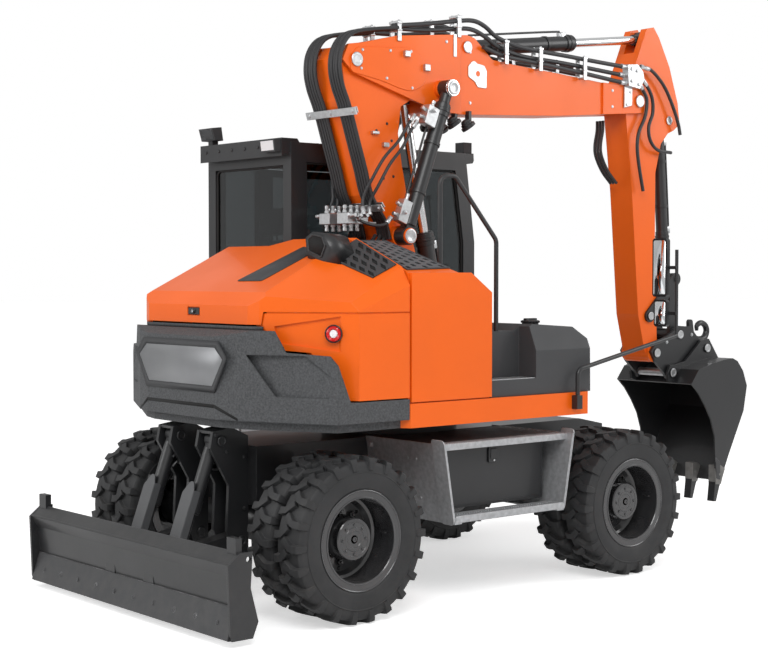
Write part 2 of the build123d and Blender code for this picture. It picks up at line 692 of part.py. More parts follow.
def turntable():
    deck = [
        (-1150, -700),
        (-790, -BODY_HALF),
        (SILL_FRONT_X - 60, -BODY_HALF),
        (SILL_FRONT_X, -BODY_HALF + 60),
        (SILL_FRONT_X, -480),
        (620, -420),
        (620, 60),
        (SILL_FRONT_X + 60, 120),
        (SILL_FRONT_X + 60, CAB_LEFT_Y - 60),
        (SILL_FRONT_X, CAB_LEFT_Y),
        (-790, BODY_HALF),
        (-1150, 700),
    ]
    shape = plan_slab(deck, DECK_BOTTOM, SILL_TOP)
    shape -= block(-700, 560, -1100, -520, DECK_BOTTOM + 30, SILL_TOP + 1)
    bracket = [
        (-260, SILL_TOP - 10),
        (-60, 1700),
        (20, 1745),
        (100, 1720),
        (180, 1560),
        (430, 1420),
        (450, SILL_TOP - 10),
    ]
    inner = BASE_HALF + CHEEK_GAP
    shape += pair(inner, inner + 35, lambda low, high: side_slab(bracket, low, high))
    shape += rod_y(BOOM_FOOT, PIN_LARGE, BOOM_Y - inner - 45, BOOM_Y + inner + 45)
    shape += rod_y(LIFT_BASE, PIN_LARGE, BOOM_Y - inner - 5, BOOM_Y + inner + 5)
    shape -= block(200, 520, BOOM_Y - 90, BOOM_Y + 90, LIFT_BASE[1] - 80, SILL_TOP + 1)
    shape += rod_y(LIFT_BASE, PIN_LARGE, BOOM_Y - inner - 5, BOOM_Y + inner + 5)
    return shape + bulkhead()


def tail_outline(inset):
    """Plan of the tail: flat middle, slanted corners and straight sides."""
    half = [
        (-800, BODY_HALF - inset),
        (TAIL_CORNER_X + 0.6 * inset, BODY_HALF - inset),
        (-1645 + inset, 560),
        (TAIL_X + inset, 380),
    ]
    return [(x, -y) for x, y in half] + list(reversed(half))


def counterweight():
    """Cast weight round the tail: wings stepped under the side panels, rear plate and lower lip."""
    body = plan_slab(tail_outline(0), DECK_BOTTOM + 52, WEIGHT_TOP)
    foot = plan_slab(tail_outline(50), DECK_BOTTOM, DECK_BOTTOM + 53)
    wing_cut = [(x - PANEL_GAP, z - 1.5 * PANEL_GAP) for x, z in HOOD_STEPS[:3]]
    wing_cut += [(HOOD_STEPS[3][0] - PANEL_GAP, SKIRT_TOP), (-700, SKIRT_TOP), (-700, 1900), (-1550, 1900)]
    room = tail_outline(WEIGHT_WALL)
    room = [(-700, room[0][1])] + room[1:-1] + [(-700, room[-1][1])]
    deck_room = plan_slab([(-1150 - SEAT_GAP, -700), (-790 - SEAT_GAP, -BODY_HALF), (-790 - SEAT_GAP, -1300),
                           (-700, -1300), (-700, 1300), (-790 - SEAT_GAP, 1300), (-790 - SEAT_GAP, BODY_HALF),
                           (-1150 - SEAT_GAP, 700)], DECK_BOTTOM - 1, SILL_TOP + 1)
    shape = body + foot - side_slab(wing_cut, -1300, 1300) - plan_slab(room, SILL_TOP, 1900) - deck_room
    pocket = plan_slab([(-1300, -1300), (-1372, -1082), (-1600, -560), (-1900, -560), (-1900, -1300)], 1345, 1590)
    pocket &= side_slab([(-1290, 1345), (-1530, 1345), (-1620, 1590), (-1440, 1590)], -1300, 0)
    border = cross_slab([(-402, 1642), (402, 1642), (492, 1560), (372, 1380), (-372, 1380), (-492, 1560)],
                        TAIL_X - 1, TAIL_X + 14)
    plate = cross_slab([(-388, 1628), (388, 1628), (474, 1558), (360, 1394), (-360, 1394), (-474, 1558)],
                       TAIL_X - 2, TAIL_X + 15)
    edge = below((TAIL_X, 0, WEIGHT_TOP - 42), (TAIL_X, 300, WEIGHT_TOP - 42), (TAIL_X + 100, 0, WEIGHT_TOP + 4))
    return (shape & edge) - pocket - mirrored(pocket) - border + plate


def engine_block():
    return block(-1330, -880, -480, 420, SILL_TOP + SEAT_GAP, 1960)


def hood_solid(inset):
    """Engine cover as a plan outline under slanted facets, smaller by the inset."""
    low = HOOD_SIDE_BOTTOM - (1 if inset else 0)
    crest = HOOD_CREST[1] - inset
    plan = [
        (HOOD_FRONT_X + inset, -BODY_HALF + inset),
        (-1190, -BODY_HALF + inset),
        (-1545 + inset, -640 + inset),
        (HOOD_TAIL_X + inset, -560),
        (HOOD_TAIL_X + inset, 560),
        (-1545 + inset, 640 - inset),
        (-1190, BODY_HALF - inset),
        (HOOD_FRONT_X + inset, BODY_HALF - inset),
    ]
    side = [
        (-1700, low),
        (-1700, 1880 - inset),
        (HOOD_TAIL_X + inset, 1880 - inset),
        (HOOD_RIDGE[0] + inset, HOOD_RIDGE[1] - inset),
        (HOOD_CREST[0], crest),
        (-700, crest),
        (-700, low),
    ]
    cross = [
        (-1300, low),
        (-1300, crest),
        (-30, crest),
        (130, HOOD_CAB_TOP - inset),
        (1300, HOOD_CAB_TOP - inset),
        (1300, low),
    ]
    shoulder = below((-1508, -642, 1957), (-1078, -591, 2183), (-1205, -1120, 1906), inset)
    bevel = below((-1150, -1150, 1868), (-790, -1150, 2010), (-1000, -1090, 2020), inset)
    shape = plan_slab(plan, low, 2400) & side_slab(side, -1300, 1300) & cross_slab(cross, -1800, -600)
    return shape & shoulder & bevel & mirrored(shoulder) & mirrored(bevel)


def hood_shell():
    return hood_solid(0) - hood_solid(PANEL)


def hood():
    """Engine cover that opens: everything above the seam on the side panels."""
    above = [
        (-1800, HOOD_LIP),
        (HOOD_STEPS[0][0] - PANEL_GAP, HOOD_LIP),
        (HOOD_STEPS[0][0], HOOD_SEAM),
        (-700, HOOD_SEAM),
        (-700, 2400),
        (-1800, 2400),
    ]
    camera = block(HOOD_TAIL_X - 10, HOOD_TAIL_X + 14, -40, 100, 1812, 1866)
    slots = []
    for row in range(VENT_ROWS):
        x = -845 - row * VENT_PITCH
        for k in range(VENTS_A_ROW):
            y = -960 + (k + 0.25 * (row % 2)) * VENT_STEP
            slots.append(block(x - 9, x + 9, y, y + 0.72 * VENT_STEP, 1900, 2400))
    return (hood_shell() & side_slab(above, -1300, 1300)) - exhaust(SEAT_GAP) - camera - slots


def tail_panels():
    """Fixed panels on both sides of the engine bay, each with the recess for its tail lamp."""
    top = HOOD_SEAM - PANEL_GAP
    outline = list(HOOD_STEPS) + [(-700, 1300), (-700, top), (HOOD_STEPS[0][0] + PANEL_GAP, top)]
    panels = hood_shell() & side_slab(outline, -1300, 1300)
    wedge = side_slab([(-1490, 1760), (-1254, 1822), (-1254, 1613), (-1478, 1660)], -1300, 0)
    recess = wedge & plan_slab([(-1190 + 16, -1150), (-1545 + 16, -640), (-1700, -640), (-1700, -1300),
                                (-1190 + 16, -1300)], 1600, 1830)
    return panels - recess - mirrored(recess)


def bulkhead():
    """Wall at the front of the engine bay; the closed hood rests round its edge."""
    wall = block(HOOD_FRONT_X - 2 - BULKHEAD, HOOD_FRONT_X - 2, -1300, 1300, SILL_TOP - 1, 2300)
    foot_half = BODY_HALF - WEIGHT_WALL - 10
    foot = block(-900, -700, -foot_half, foot_half, SILL_TOP - 1, HOOD_SIDE_BOTTOM)
    return wall & (hood_solid(PANEL + SEAT_GAP) + foot)


def exhaust(grow=0):
    pipe = [(-1120 - grow, 2200), (-1160 - grow, 2330), (-960 + grow, 2330), (-900 + grow, 2200)]
    return side_slab(pipe, -640 - grow, -500 + grow)


def housing_solid(inset):
    """Space of the right-hand body, smaller by the inset but open towards its door."""
    door_y = -BODY_HALF + DOOR_PANEL + SEAT_GAP - 2 * inset
    outline = [
        (door_y, SILL_TOP + SEAT_GAP + inset),
        (door_y, BODY_TOP - inset),
        (-BODY_HALF + 50, BODY_TOP + 10 - inset),
        (SHELF_INNER_Y - 40, HOUSING_CREST - inset),
        (SHELF_INNER_Y - inset, HOUSING_CREST - inset),
        (SHELF_INNER_Y - inset, SILL_TOP + SEAT_GAP + inset),
    ]
    front = below((-380, -1080, 2090), (-550, -520, 2290), (DOOR_FRONT_X, -1100, 1940), inset)
    return cross_slab(outline, DOOR_REAR_X + inset, DOOR_FRONT_X - inset) & front


def side_housing():
    """Right-hand body behind the service door: slanted top, front and rear walls."""
    return housing_solid(0) - housing_solid(20)


def side_door():
    y_face = -BODY_HALF
    leaf = block(DOOR_REAR_X + PANEL_GAP, DOOR_FRONT_X, y_face, y_face + DOOR_PANEL, SILL_TOP + PANEL_GAP, BODY_TOP)
    corner = side_slab([(DOOR_FRONT_X - 180, BODY_TOP + 1), (DOOR_FRONT_X + 1, BODY_TOP + 1),
                        (DOOR_FRONT_X + 1, 1955)], y_face - 1, y_face + DOOR_PANEL + 1)
    return leaf - corner


def fuel_tank():
    """Moulded tank at the right front, with filler cap and the step in front of the door."""
    profile = [
        (-100, SILL_TOP + SEAT_GAP),
        (-100, TANK_TOP),
        (250, TANK_TOP),
        (330, 1745),
        (700, 1720),
        (810, 1640),
        (815, SILL_TOP + SEAT_GAP),
    ]
    body = side_slab(profile, -BODY_HALF + 20, SHELF_INNER_Y - 20)
    notch = block(-110, 300, -BODY_HALF, -BODY_HALF + 180, 1395, 1800)
    shoulder = below((0, -BODY_HALF + 20, 1575), (500, -BODY_HALF + 20, 1575), (0, -BODY_HALF + 95, TANK_TOP + 60))
    dip = plan_slab([(400, -1010), (560, -1010), (585, -880), (560, -760), (400, -760), (375, -880)], 1695, 1800)
    cap = rod_z(476, -900, 55, 1690, 1745) + block(421, 531, -912, -888, 1744, 1762)
    return (body & shoulder) - notch - dip + cap


# Cab

def cab_side_outline(inset):
    return [
        (CAB_REAR_X + inset, CAB_FLOOR_Z + inset),
        (CAB_REAR_X + inset, CAB_ROOF_Z - inset),
        (CAB_FRONT_X - 90 - inset, CAB_ROOF_Z - inset),
        (CAB_FRONT_X - inset, 2300),
        (CAB_FRONT_X - inset, 1700),
        (CAB_FRONT_X - 130 - inset, CAB_FLOOR_Z + inset),
    ]


def cab_shell():
    outer = side_slab(cab_side_outline(0), CAB_RIGHT_Y, CAB_LEFT_Y)
    inner = side_slab(cab_side_outline(PILLAR), CAB_RIGHT_Y + PILLAR, CAB_LEFT_Y - PILLAR)
    return outer - inner


def window(outline, y_low, y_high):
    return side_slab(outline, y_low, y_high)


def right_window_outline():
    return [
        (CAB_REAR_X + 130, 1900),
        (CAB_REAR_X + 130, CAB_ROOF_Z - 130),
        (CAB_FRONT_X - 190, CAB_ROOF_Z - 130),
        (CAB_FRONT_X - 110, 2300),
        (CAB_FRONT_X - 110, 1750),
        (CAB_FRONT_X - 140, 1700),
    ]


def door_outline():
    return [
        (-250, CAB_FLOOR_Z + 90),
        (-250, CAB_ROOF_Z - 110),
        (CAB_FRONT_X - 170, CAB_ROOF_Z - 110),
        (CAB_FRONT_X - 90, 2300),
        (CAB_FRONT_X - 90, 1710),
        (CAB_FRONT_X - 200, CAB_FLOOR_Z + 90),
    ]


def door_glass_outline():
    return [
        (-190, CAB_FLOOR_Z + 160),
        (-190, CAB_ROOF_Z - 170),
        (CAB_FRONT_X - 220, CAB_ROOF_Z - 170),
        (CAB_FRONT_X - 150, 2300),
        (CAB_FRONT_X - 150, 1730),
        (CAB_FRONT_X - 240, CAB_FLOOR_Z + 160),
    ]


def door_knuckle(z_low):
    return rod_z(CAB_DOOR_HINGE_X, CAB_DOOR_HINGE_Y, DOOR_KNUCKLE_RADIUS, z_low, z_low + 30)


def cab_frame():
    shell = cab_shell()
    shell -= window(right_window_outline(), CAB_RIGHT_Y - 10, CAB_RIGHT_Y + PILLAR + 10)
    shell -= window(door_outline(), CAB_LEFT_Y - PILLAR - 10, CAB_LEFT_Y + 10)
    rear_quarter = [(CAB_REAR_X + 110, 1900), (CAB_REAR_X + 110, CAB_ROOF_Z - 130), (-330, CAB_ROOF_Z - 130), (-330, 1900)]
    shell -= window(rear_quarter, CAB_LEFT_Y - PILLAR - 10, CAB_LEFT_Y + 10)
    shell -= block(CAB_REAR_X - 10, CAB_REAR_X + PILLAR + 10, CAB_RIGHT_Y + 90, CAB_LEFT_Y - 90, 2050, CAB_ROOF_Z - 150)
    shell -= block(CAB_FRONT_X - 260, CAB_FRONT_X + 10, CAB_RIGHT_Y + 80, CAB_LEFT_Y - 80, 1500, CAB_ROOF_Z - 110)
    for height in DOOR_HINGE_HEIGHTS:
        shell += door_knuckle(height)
        shell += block(CAB_DOOR_HINGE_X - 40, CAB_DOOR_HINGE_X, CAB_LEFT_Y - 1, CAB_DOOR_HINGE_Y, height, height + 30)
    visor = side_slab([(CAB_REAR_X + 5, 2880), (CAB_REAR_X - 70, 2855), (CAB_REAR_X - 70, 2975),
                       (CAB_REAR_X + 60, 2975), (CAB_REAR_X + 80, CAB_ROOF_Z - 1)], CAB_RIGHT_Y + 10, CAB_LEFT_Y - 5)
    shell += visor
    feet = block(CAB_REAR_X + 60, CAB_FRONT_X - 200, CAB_RIGHT_Y + 60, CAB_LEFT_Y - 60, SILL_TOP + SEAT_GAP, CAB_FLOOR_Z + 1)
    return shell + feet


def cab_glass():
    right = window(right_window_outline(), CAB_RIGHT_Y + 20, CAB_RIGHT_Y + 20 + GLASS)
    quarter = [(CAB_REAR_X + 110, 1900), (CAB_REAR_X + 110, CAB_ROOF_Z - 130), (-330, CAB_ROOF_Z - 130), (-330, 1900)]
    left = window(quarter, CAB_LEFT_Y - 20 - GLASS, CAB_LEFT_Y - 20)
    rear = block(CAB_REAR_X + 20, CAB_REAR_X + 20 + GLASS, CAB_RIGHT_Y + 90, CAB_LEFT_Y - 90, 2050, CAB_ROOF_Z - 150)
    front_line = [
        (CAB_FRONT_X - 110, CAB_ROOF_Z - 110),
        (CAB_FRONT_X - 30, 2300),
        (CAB_FRONT_X - 30, 1700),
        (CAB_FRONT_X - 78, 1500),
        (CAB_FRONT_X - 78 - GLASS, 1500),
        (CAB_FRONT_X - 30 - GLASS, 1700),
        (CAB_FRONT_X - 30 - GLASS, 2300),
        (CAB_FRONT_X - 110 - GLASS, CAB_ROOF_Z - 110),
    ]
    front = side_slab(front_line, CAB_RIGHT_Y + 80, CAB_LEFT_Y - 80)
    return right + left + rear + front


def shrink(outline, gap):
    """Outline moved inwards by gap, towards its own middle."""
    face = make_face(Polyline(*outline, close=True))
    return offset(face, amount=-gap, kind=Kind.INTERSECTION)


def door_leaf():
    face = shrink(door_outline(), PANEL_GAP)
    leaf = extrude(Plane.XZ.offset(-(CAB_LEFT_Y + 2)) * face, 42)
    opening = window(door_glass_outline(), CAB_LEFT_Y - 60, CAB_LEFT_Y + 20)
    handle = block(800, 828, CAB_LEFT_Y + 1, CAB_LEFT_Y + 40, 1790, 1930)
    leaf = leaf - opening + handle
    for height in DOOR_HINGE_HEIGHTS:
        low = height + 30 + SEAT_GAP
        leaf += door_knuckle(low)
        leaf += block(CAB_DOOR_HINGE_X, CAB_DOOR_HINGE_X + 60, CAB_LEFT_Y + 1, CAB_LEFT_Y + 12, low, low + 30)
    return leaf


def door_glass():
    return window(door_glass_outline(), CAB_LEFT_Y - 22, CAB_LEFT_Y - 22 + GLASS)


def cab_interior():
    """Seat pedestal, consoles and steering column."""
    middle = (CAB_RIGHT_Y + CAB_LEFT_Y) / 2
    floor = CAB_FLOOR_Z + PILLAR + SEAT_GAP
    pedestal = block(-420, -20, middle - 220, middle + 220, floor, 1620)
    console_right = block(-380, 120, middle - 370, middle - 260, floor, 1840)
    console_left = block(-380, 120, middle + 260, middle + 370, floor, 1840)
    column = side_slab([(560, floor), (430, 1920), (480, 1940), (640, floor)], middle - 60, middle + 60)
    wheel = Pos(430, middle, 1940) * Rot(0, -25, 0) * Torus(170, 15)
    hub = Pos(430, middle, 1930) * Rot(0, -25, 0) * Cylinder(60, 50)
    spoke = Pos(430, middle, 1940) * Rot(0, -25, 0) * Box(30, 340, 14)
    return pedestal + console_right + console_left + column + wheel + hub + spoke


def seat():
    middle = (CAB_RIGHT_Y + CAB_LEFT_Y) / 2
    low = 1620 + SEAT_GAP
    cushion = block(-440, 60, middle - 240, middle + 240, low, 1740)
    back = side_slab([(-440, 1740), (-560, 2300), (-480, 2320), (-340, 1740)], middle - 230, middle + 230)
    head = side_slab([(-545, 2330), (-575, 2520), (-500, 2530), (-470, 2330)], middle - 130, middle + 130)
    neck = side_slab([(-540, 2290), (-550, 2340), (-500, 2340), (-495, 2290)], middle - 60, middle + 60)
    return cushion + back + head + neck


def handrails():
    tube = 15
    a_path = FilletPolyline((-376, -950, BODY_TOP), (-376, -950, 2690), (-250, -950, 2690),
                            (112, -950, 2290), (112, -950, TANK_TOP + SEAT_GAP), radius=60)
    rail_y = -BODY_HALF - 15 - tube
    b_path = FilletPolyline((640, rail_y, 1190), (640, rail_y, 1440), (1640, rail_y, 1640), radius=50)
    a = sweep(Plane(origin=a_path @ 0, z_dir=a_path % 0) * Circle(tube), a_path) - housing_solid(-SEAT_GAP)
    b = sweep(Plane(origin=b_path @ 0, z_dir=b_path % 0) * Circle(tube), b_path)
    clamp = block(615, 665, rail_y - tube - 5, -BODY_HALF - SEAT_GAP, 1180, 1270)
    post = rod_z(MIRROR_POST_X, rail_y, 12, 1625, 2240)
    shape = a + b + clamp + post
    for low, high, width in MIRRORS:
        middle = (low + high) / 2
        near = rail_y + 48
        face = cross_slab([(near + 12, low), (near, low + 15), (near, high - 15), (near + 12, high),
                           (near + width - 12, high), (near + width, high - 15), (near + width, low + 15),
                           (near + width - 12, low)], MIRROR_POST_X - 50, MIRROR_POST_X - 15)
        shape += face + block(MIRROR_POST_X - 20, MIRROR_POST_X + 5, rail_y - 10, near + 60, middle - 12, middle + 12)
    return shape


def cab_lamps():
    front = block(CAB_FRONT_X - 90, CAB_FRONT_X - 10, CAB_RIGHT_Y + 20, CAB_RIGHT_Y + 110, CAB_ROOF_Z + SEAT_GAP, CAB_ROOF_Z + 80)
    front += block(CAB_FRONT_X - 90, CAB_FRONT_X - 10, CAB_LEFT_Y - 110, CAB_LEFT_Y - 20, CAB_ROOF_Z + SEAT_GAP, CAB_ROOF_Z + 80)
    visor_x = CAB_REAR_X - 70 - SEAT_GAP
    rear = side_slab([(visor_x, 2885), (visor_x - 45, 2880), (visor_x - 55, 2965), (visor_x, 2968)],
                     CAB_RIGHT_Y + 20, CAB_RIGHT_Y + 190)
    post = block(CAB_REAR_X - 40, CAB_REAR_X + 10, CAB_LEFT_Y - 110, CAB_LEFT_Y - 60, 2975 + SEAT_GAP, 3012)
    head = side_slab([(CAB_REAR_X - 50, 3010), (CAB_REAR_X - 75, 3095), (CAB_REAR_X + 5, 3105), (CAB_REAR_X + 20, 3010)],
                     CAB_LEFT_Y - 160, CAB_LEFT_Y + 10)
    return front + rear + post + head


# Boom, arm and linkage

def base_boom():
    outline = [
        (BOOM_FOOT[0] - 95, BOOM_FOOT[1] + 20),
        (BOOM_FOOT[0] - 60, BOOM_FOOT[1] - 75),
        (BOOM_FOOT[0] + 30, BOOM_FOOT[1] - 92),
        (BOOM_FOOT[0] + 93, BOOM_FOOT[1] - 20),
        (BOOM_FOOT[0] + 80, BOOM_FOOT[1] + 60),
        (-64, 2251),
        (-117, 2391),
        (-137, 2643),
        (-171, 2792),
        (-205, 3000),
        (-180, 3180),
        (LIFT_ROD[0], LIFT_ROD[1] - 80),
        (LIFT_ROD[0] + 76, LIFT_ROD[1] - 20),
        (LIFT_ROD[0] + 60, LIFT_ROD[1] + 52),
        (LIFT_ROD[0] - 30, LIFT_ROD[1] + 80),
        (UPPER_PIVOT[0] + 60, UPPER_PIVOT[1] + 82),
        (UPPER_PIVOT[0] - 40, UPPER_PIVOT[1] + 94),
        (UPPER_PIVOT[0] - 100, UPPER_PIVOT[1] + 10),
        (-645, 3200),
        (-550, 2940),
        (-440, 2590),
        (-330, 2430),
        (-260, 2260),
    ]
    shape = side_slab(outline, BOOM_Y - BASE_HALF, BOOM_Y + BASE_HALF)
    slot_half = EYE_HALF + EYE_GAP
    shape -= block(-175, 100, BOOM_Y - slot_half, BOOM_Y + slot_half, 3050, 3445)
    shape -= rod_y(BOOM_FOOT, PIN_LARGE + RUNNING_FIT, BOOM_Y - 200, BOOM_Y + 200)
    shape -= rod_y(UPPER_PIVOT, PIN_LARGE + RUNNING_FIT, BOOM_Y - 200, BOOM_Y + 200)
    boss_end = ADJUST_Y - ADJUST_EYE_HALF - EYE_GAP
    shape += pair(BASE_HALF - 1, boss_end, lambda low, high: rod_y(ADJUST_BASE, 70, low, high))
    shape += pair(BASE_HALF - 1, ADJUST_Y + ADJUST_EYE_HALF + ADJUST_CAP,
                  lambda low, high: rod_y(ADJUST_BASE, PIN_SMALL, low, high))
    shape += pair(ADJUST_Y + ADJUST_EYE_HALF + EYE_GAP, ADJUST_Y + ADJUST_EYE_HALF + ADJUST_CAP,
                  lambda low, high: rod_y(ADJUST_BASE, 52, low, high))
    return shape


def upper_boom():
    side = [
        (UPPER_PIVOT[0] - 110, UPPER_PIVOT[1] - 10),
        (UPPER_PIVOT[0] - 60, UPPER_PIVOT[1] + 95),
        (-533, 3568),
        (-241, 3639),
        (430, 3712),
        (500, 3700),
        (672, 3564),
        (883, 3547),
        (1351, 3521),
        (1797, 3492),
        (ARM_PIVOT[0] - 40, ARM_PIVOT[1] + 105),
        (ARM_PIVOT[0] + 80, ARM_PIVOT[1] + 80),
        (ARM_PIVOT[0] + 110, ARM_PIVOT[1]),
        (ARM_PIVOT[0] + 70, ARM_PIVOT[1] - 85),
        (ARM_PIVOT[0] - 60, ARM_PIVOT[1] - 95),
        (1820, 3259),
        (1340, 3217),
        (313, 3161),
        (46, 3187),
        (-610, 3370),
    ]
    cheek_inner = BASE_HALF + CHEEK_GAP
    cheeks = pair(cheek_inner, cheek_inner + CHEEK_PLATE, lambda low, high: side_slab(side, low, high))
    cheeks &= block(-800, 330, -600, 300, 3000, 3800)
    box = side_slab(side, BOOM_Y - UPPER_HALF, BOOM_Y + UPPER_HALF)
    box &= block(105, 1940, -600, 300, 3000, 3800)
    web = side_slab([(105, 3170), (105, 3675), (330, 3700), (330, 3161)],
                    BOOM_Y - cheek_inner - CHEEK_PLATE, BOOM_Y + cheek_inner + CHEEK_PLATE)
    roof = side_slab([(-480, 3581), (-241, 3639), (120, 3678), (120, 3650), (-241, 3612), (-480, 3562)],
                     BOOM_Y - cheek_inner - 1, BOOM_Y + cheek_inner + 1)
    nose_inner = ARM_HALF + FORK_GAP
    nose = pair(nose_inner, NOSE_HALF, lambda low, high: side_slab(side, low, high))
    nose &= block(1800, 2400, -600, 300, 3000, 3800)
    shape = cheeks + box + web + roof + nose
    shape -= block(330, 720, BOOM_Y - EYE_HALF - 8, BOOM_Y + EYE_HALF + 8, 3540, 3800)
    shape += rod_y(ARM_CYL_BASE, PIN_LARGE, BOOM_Y - UPPER_HALF - 8, BOOM_Y + UPPER_HALF + 8)
    shape += rod_y(UPPER_PIVOT, PIN_LARGE, BOOM_Y - cheek_inner - CHEEK_PLATE - 10, BOOM_Y + cheek_inner + CHEEK_PLATE + 10)
    shape += rod_y(ARM_PIVOT, PIN_LARGE, BOOM_Y - NOSE_HALF - 10, BOOM_Y + NOSE_HALF + 10)
    boss_end = ADJUST_Y - ADJUST_EYE_HALF - EYE_GAP
    shape += pair(cheek_inner, boss_end, lambda low, high: rod_y(ADJUST_ROD, 62, low, high))
    return shape


def arm():
    outline = [
        (2320, 3945),
        (2400, 3962),
        (2463, 3890),
        (2589, 3672),
        (2690, 3400),
        (2715, 3240),
        (2640, 3185),
        (2575, 3160),
        (2493, 3075),
        (2430, 2850),
        (2430, 2350),
        (2448, 1870),
        (2460, 1560),
        (2475, 1470),
        (2430, 1392),
        (2350, 1400),
        (2310, 1500),
        (2240, 1760),
        (2210, 2112),
        (2160, 2695),
        (2085, 3290),
        (2100, 3460),
    ]
    shape = side_slab(outline, BOOM_Y - ARM_HALF, BOOM_Y + ARM_HALF)
    slot_half = EYE_HALF + EYE_GAP
    shape -= block(2200, 2600, BOOM_Y - slot_half, BOOM_Y + slot_half, 3760, 4000)
    shape -= block(2505, 2800, BOOM_Y - slot_half, BOOM_Y + slot_half, 3050, 3350)
    shape += rod_y(BUCKET_CYL_BASE, PIN_SMALL, BOOM_Y - ARM_HALF - 8, BOOM_Y + ARM_HALF + 8)
    shape += rod_y(ARM_FOOT, 72, BOOM_Y - COUPLER_INNER + EYE_GAP, BOOM_Y + COUPLER_INNER - EYE_GAP)
    shape -= rod_y(ARM_PIVOT, PIN_LARGE + RUNNING_FIT, BOOM_Y - 200, BOOM_Y + 200)
    shape -= rod_y(ARM_FOOT, PIN_SMALL + RUNNING_FIT, BOOM_Y - 200, BOOM_Y + 200)
    shape -= rod_y(ROCKER_PIVOT, PIN_SMALL + RUNNING_FIT, BOOM_Y - 200, BOOM_Y + 200)
    return shape


def hose_bundle(line, offsets, clamp_places, clamp_half, foot):
    """Hoses side by side along a line of (X, Z) points, and the clamp bars that hold them.
    Each clamp is (X, Z, slope in degrees); its foot reaches towards the boom."""
    shape = Part()
    for offset_y in offsets:
        points = [(x, BOOM_Y + offset_y, z) for x, z in line]
        route = FilletPolyline(*points, radius=HOSE_BEND)
        shape += sweep(Plane(origin=route @ 0, z_dir=route % 0) * Circle(HOSE_RADIUS), route)
    for x, z, slope in clamp_places:
        bar_shape = Pos(0, 0, (HOSE_RADIUS + 6 - foot) / 2) * Box(34, 2 * clamp_half, HOSE_RADIUS + 6 + foot)
        shape += Pos(x, BOOM_Y, z) * Rot(0, slope, 0) * bar_shape
    return shape


def capsule(start, end, start_radius, end_radius, y_low, y_high):
    """Flat link with round ends, from hull of two discs, carried across Y."""
    frame = axis_frame(start, end, (y_low + y_high) / 2)
    reach = span(start, end)
    depth = y_high - y_low
    body = Pos(0, 0, 0) * Cylinder(start_radius, depth) + Pos(reach, 0, 0) * Cylinder(end_radius, depth)
    tilt = math.asin((start_radius - end_radius) / reach)
    across = (math.sin(tilt), math.cos(tilt))
    sides = [
        (start_radius * across[0], start_radius * across[1]),
        (reach + end_radius * across[0], end_radius * across[1]),
        (reach + end_radius * across[0], -end_radius * across[1]),
        (start_radius * across[0], -start_radius * across[1]),
    ]
    middle = extrude(Pos(0, 0, -depth / 2) * make_face(Polyline(*sides, close=True)), depth)
    return frame * (body + middle)


def rocker():
    inner = ARM_HALF + EYE_GAP
    plates = pair(inner, inner + ROCKER_PLATE,
                  lambda low, high: capsule(ROCKER_PIVOT, ROCKER_TOP, 48, 48, low, high))
    pivot = rod_y(ROCKER_PIVOT, PIN_SMALL, BOOM_Y - inner - ROCKER_PLATE - 8, BOOM_Y + inner + ROCKER_PLATE + 8)
    stubs = pair(EYE_HALF + EYE_GAP, inner + ROCKER_PLATE + 8,
                 lambda low, high: rod_y(ROCKER_TOP, PIN_SMALL, low, high))
    return plates + pivot + stubs


def link():
    plates = pair(LINK_INNER, LINK_INNER + LINK_PLATE,
                  lambda low, high: capsule(ROCKER_TOP, LINK_PIN, 46, 46, low, high))
    plates -= rod_y(ROCKER_TOP, PIN_SMALL + RUNNING_FIT, BOOM_Y - 200, BOOM_Y + 200)
    frame = axis_frame(ROCKER_TOP, LINK_PIN, BOOM_Y)
    web = frame * (Pos(span(ROCKER_TOP, LINK_PIN) - 130, 0, 0) * Box(90, 30, 2 * LINK_INNER + 2))
    foot = rod_y(LINK_PIN, 46, BOOM_Y - COUPLER_INNER + EYE_GAP, BOOM_Y + COUPLER_INNER - EYE_GAP)
    return plates + web + foot


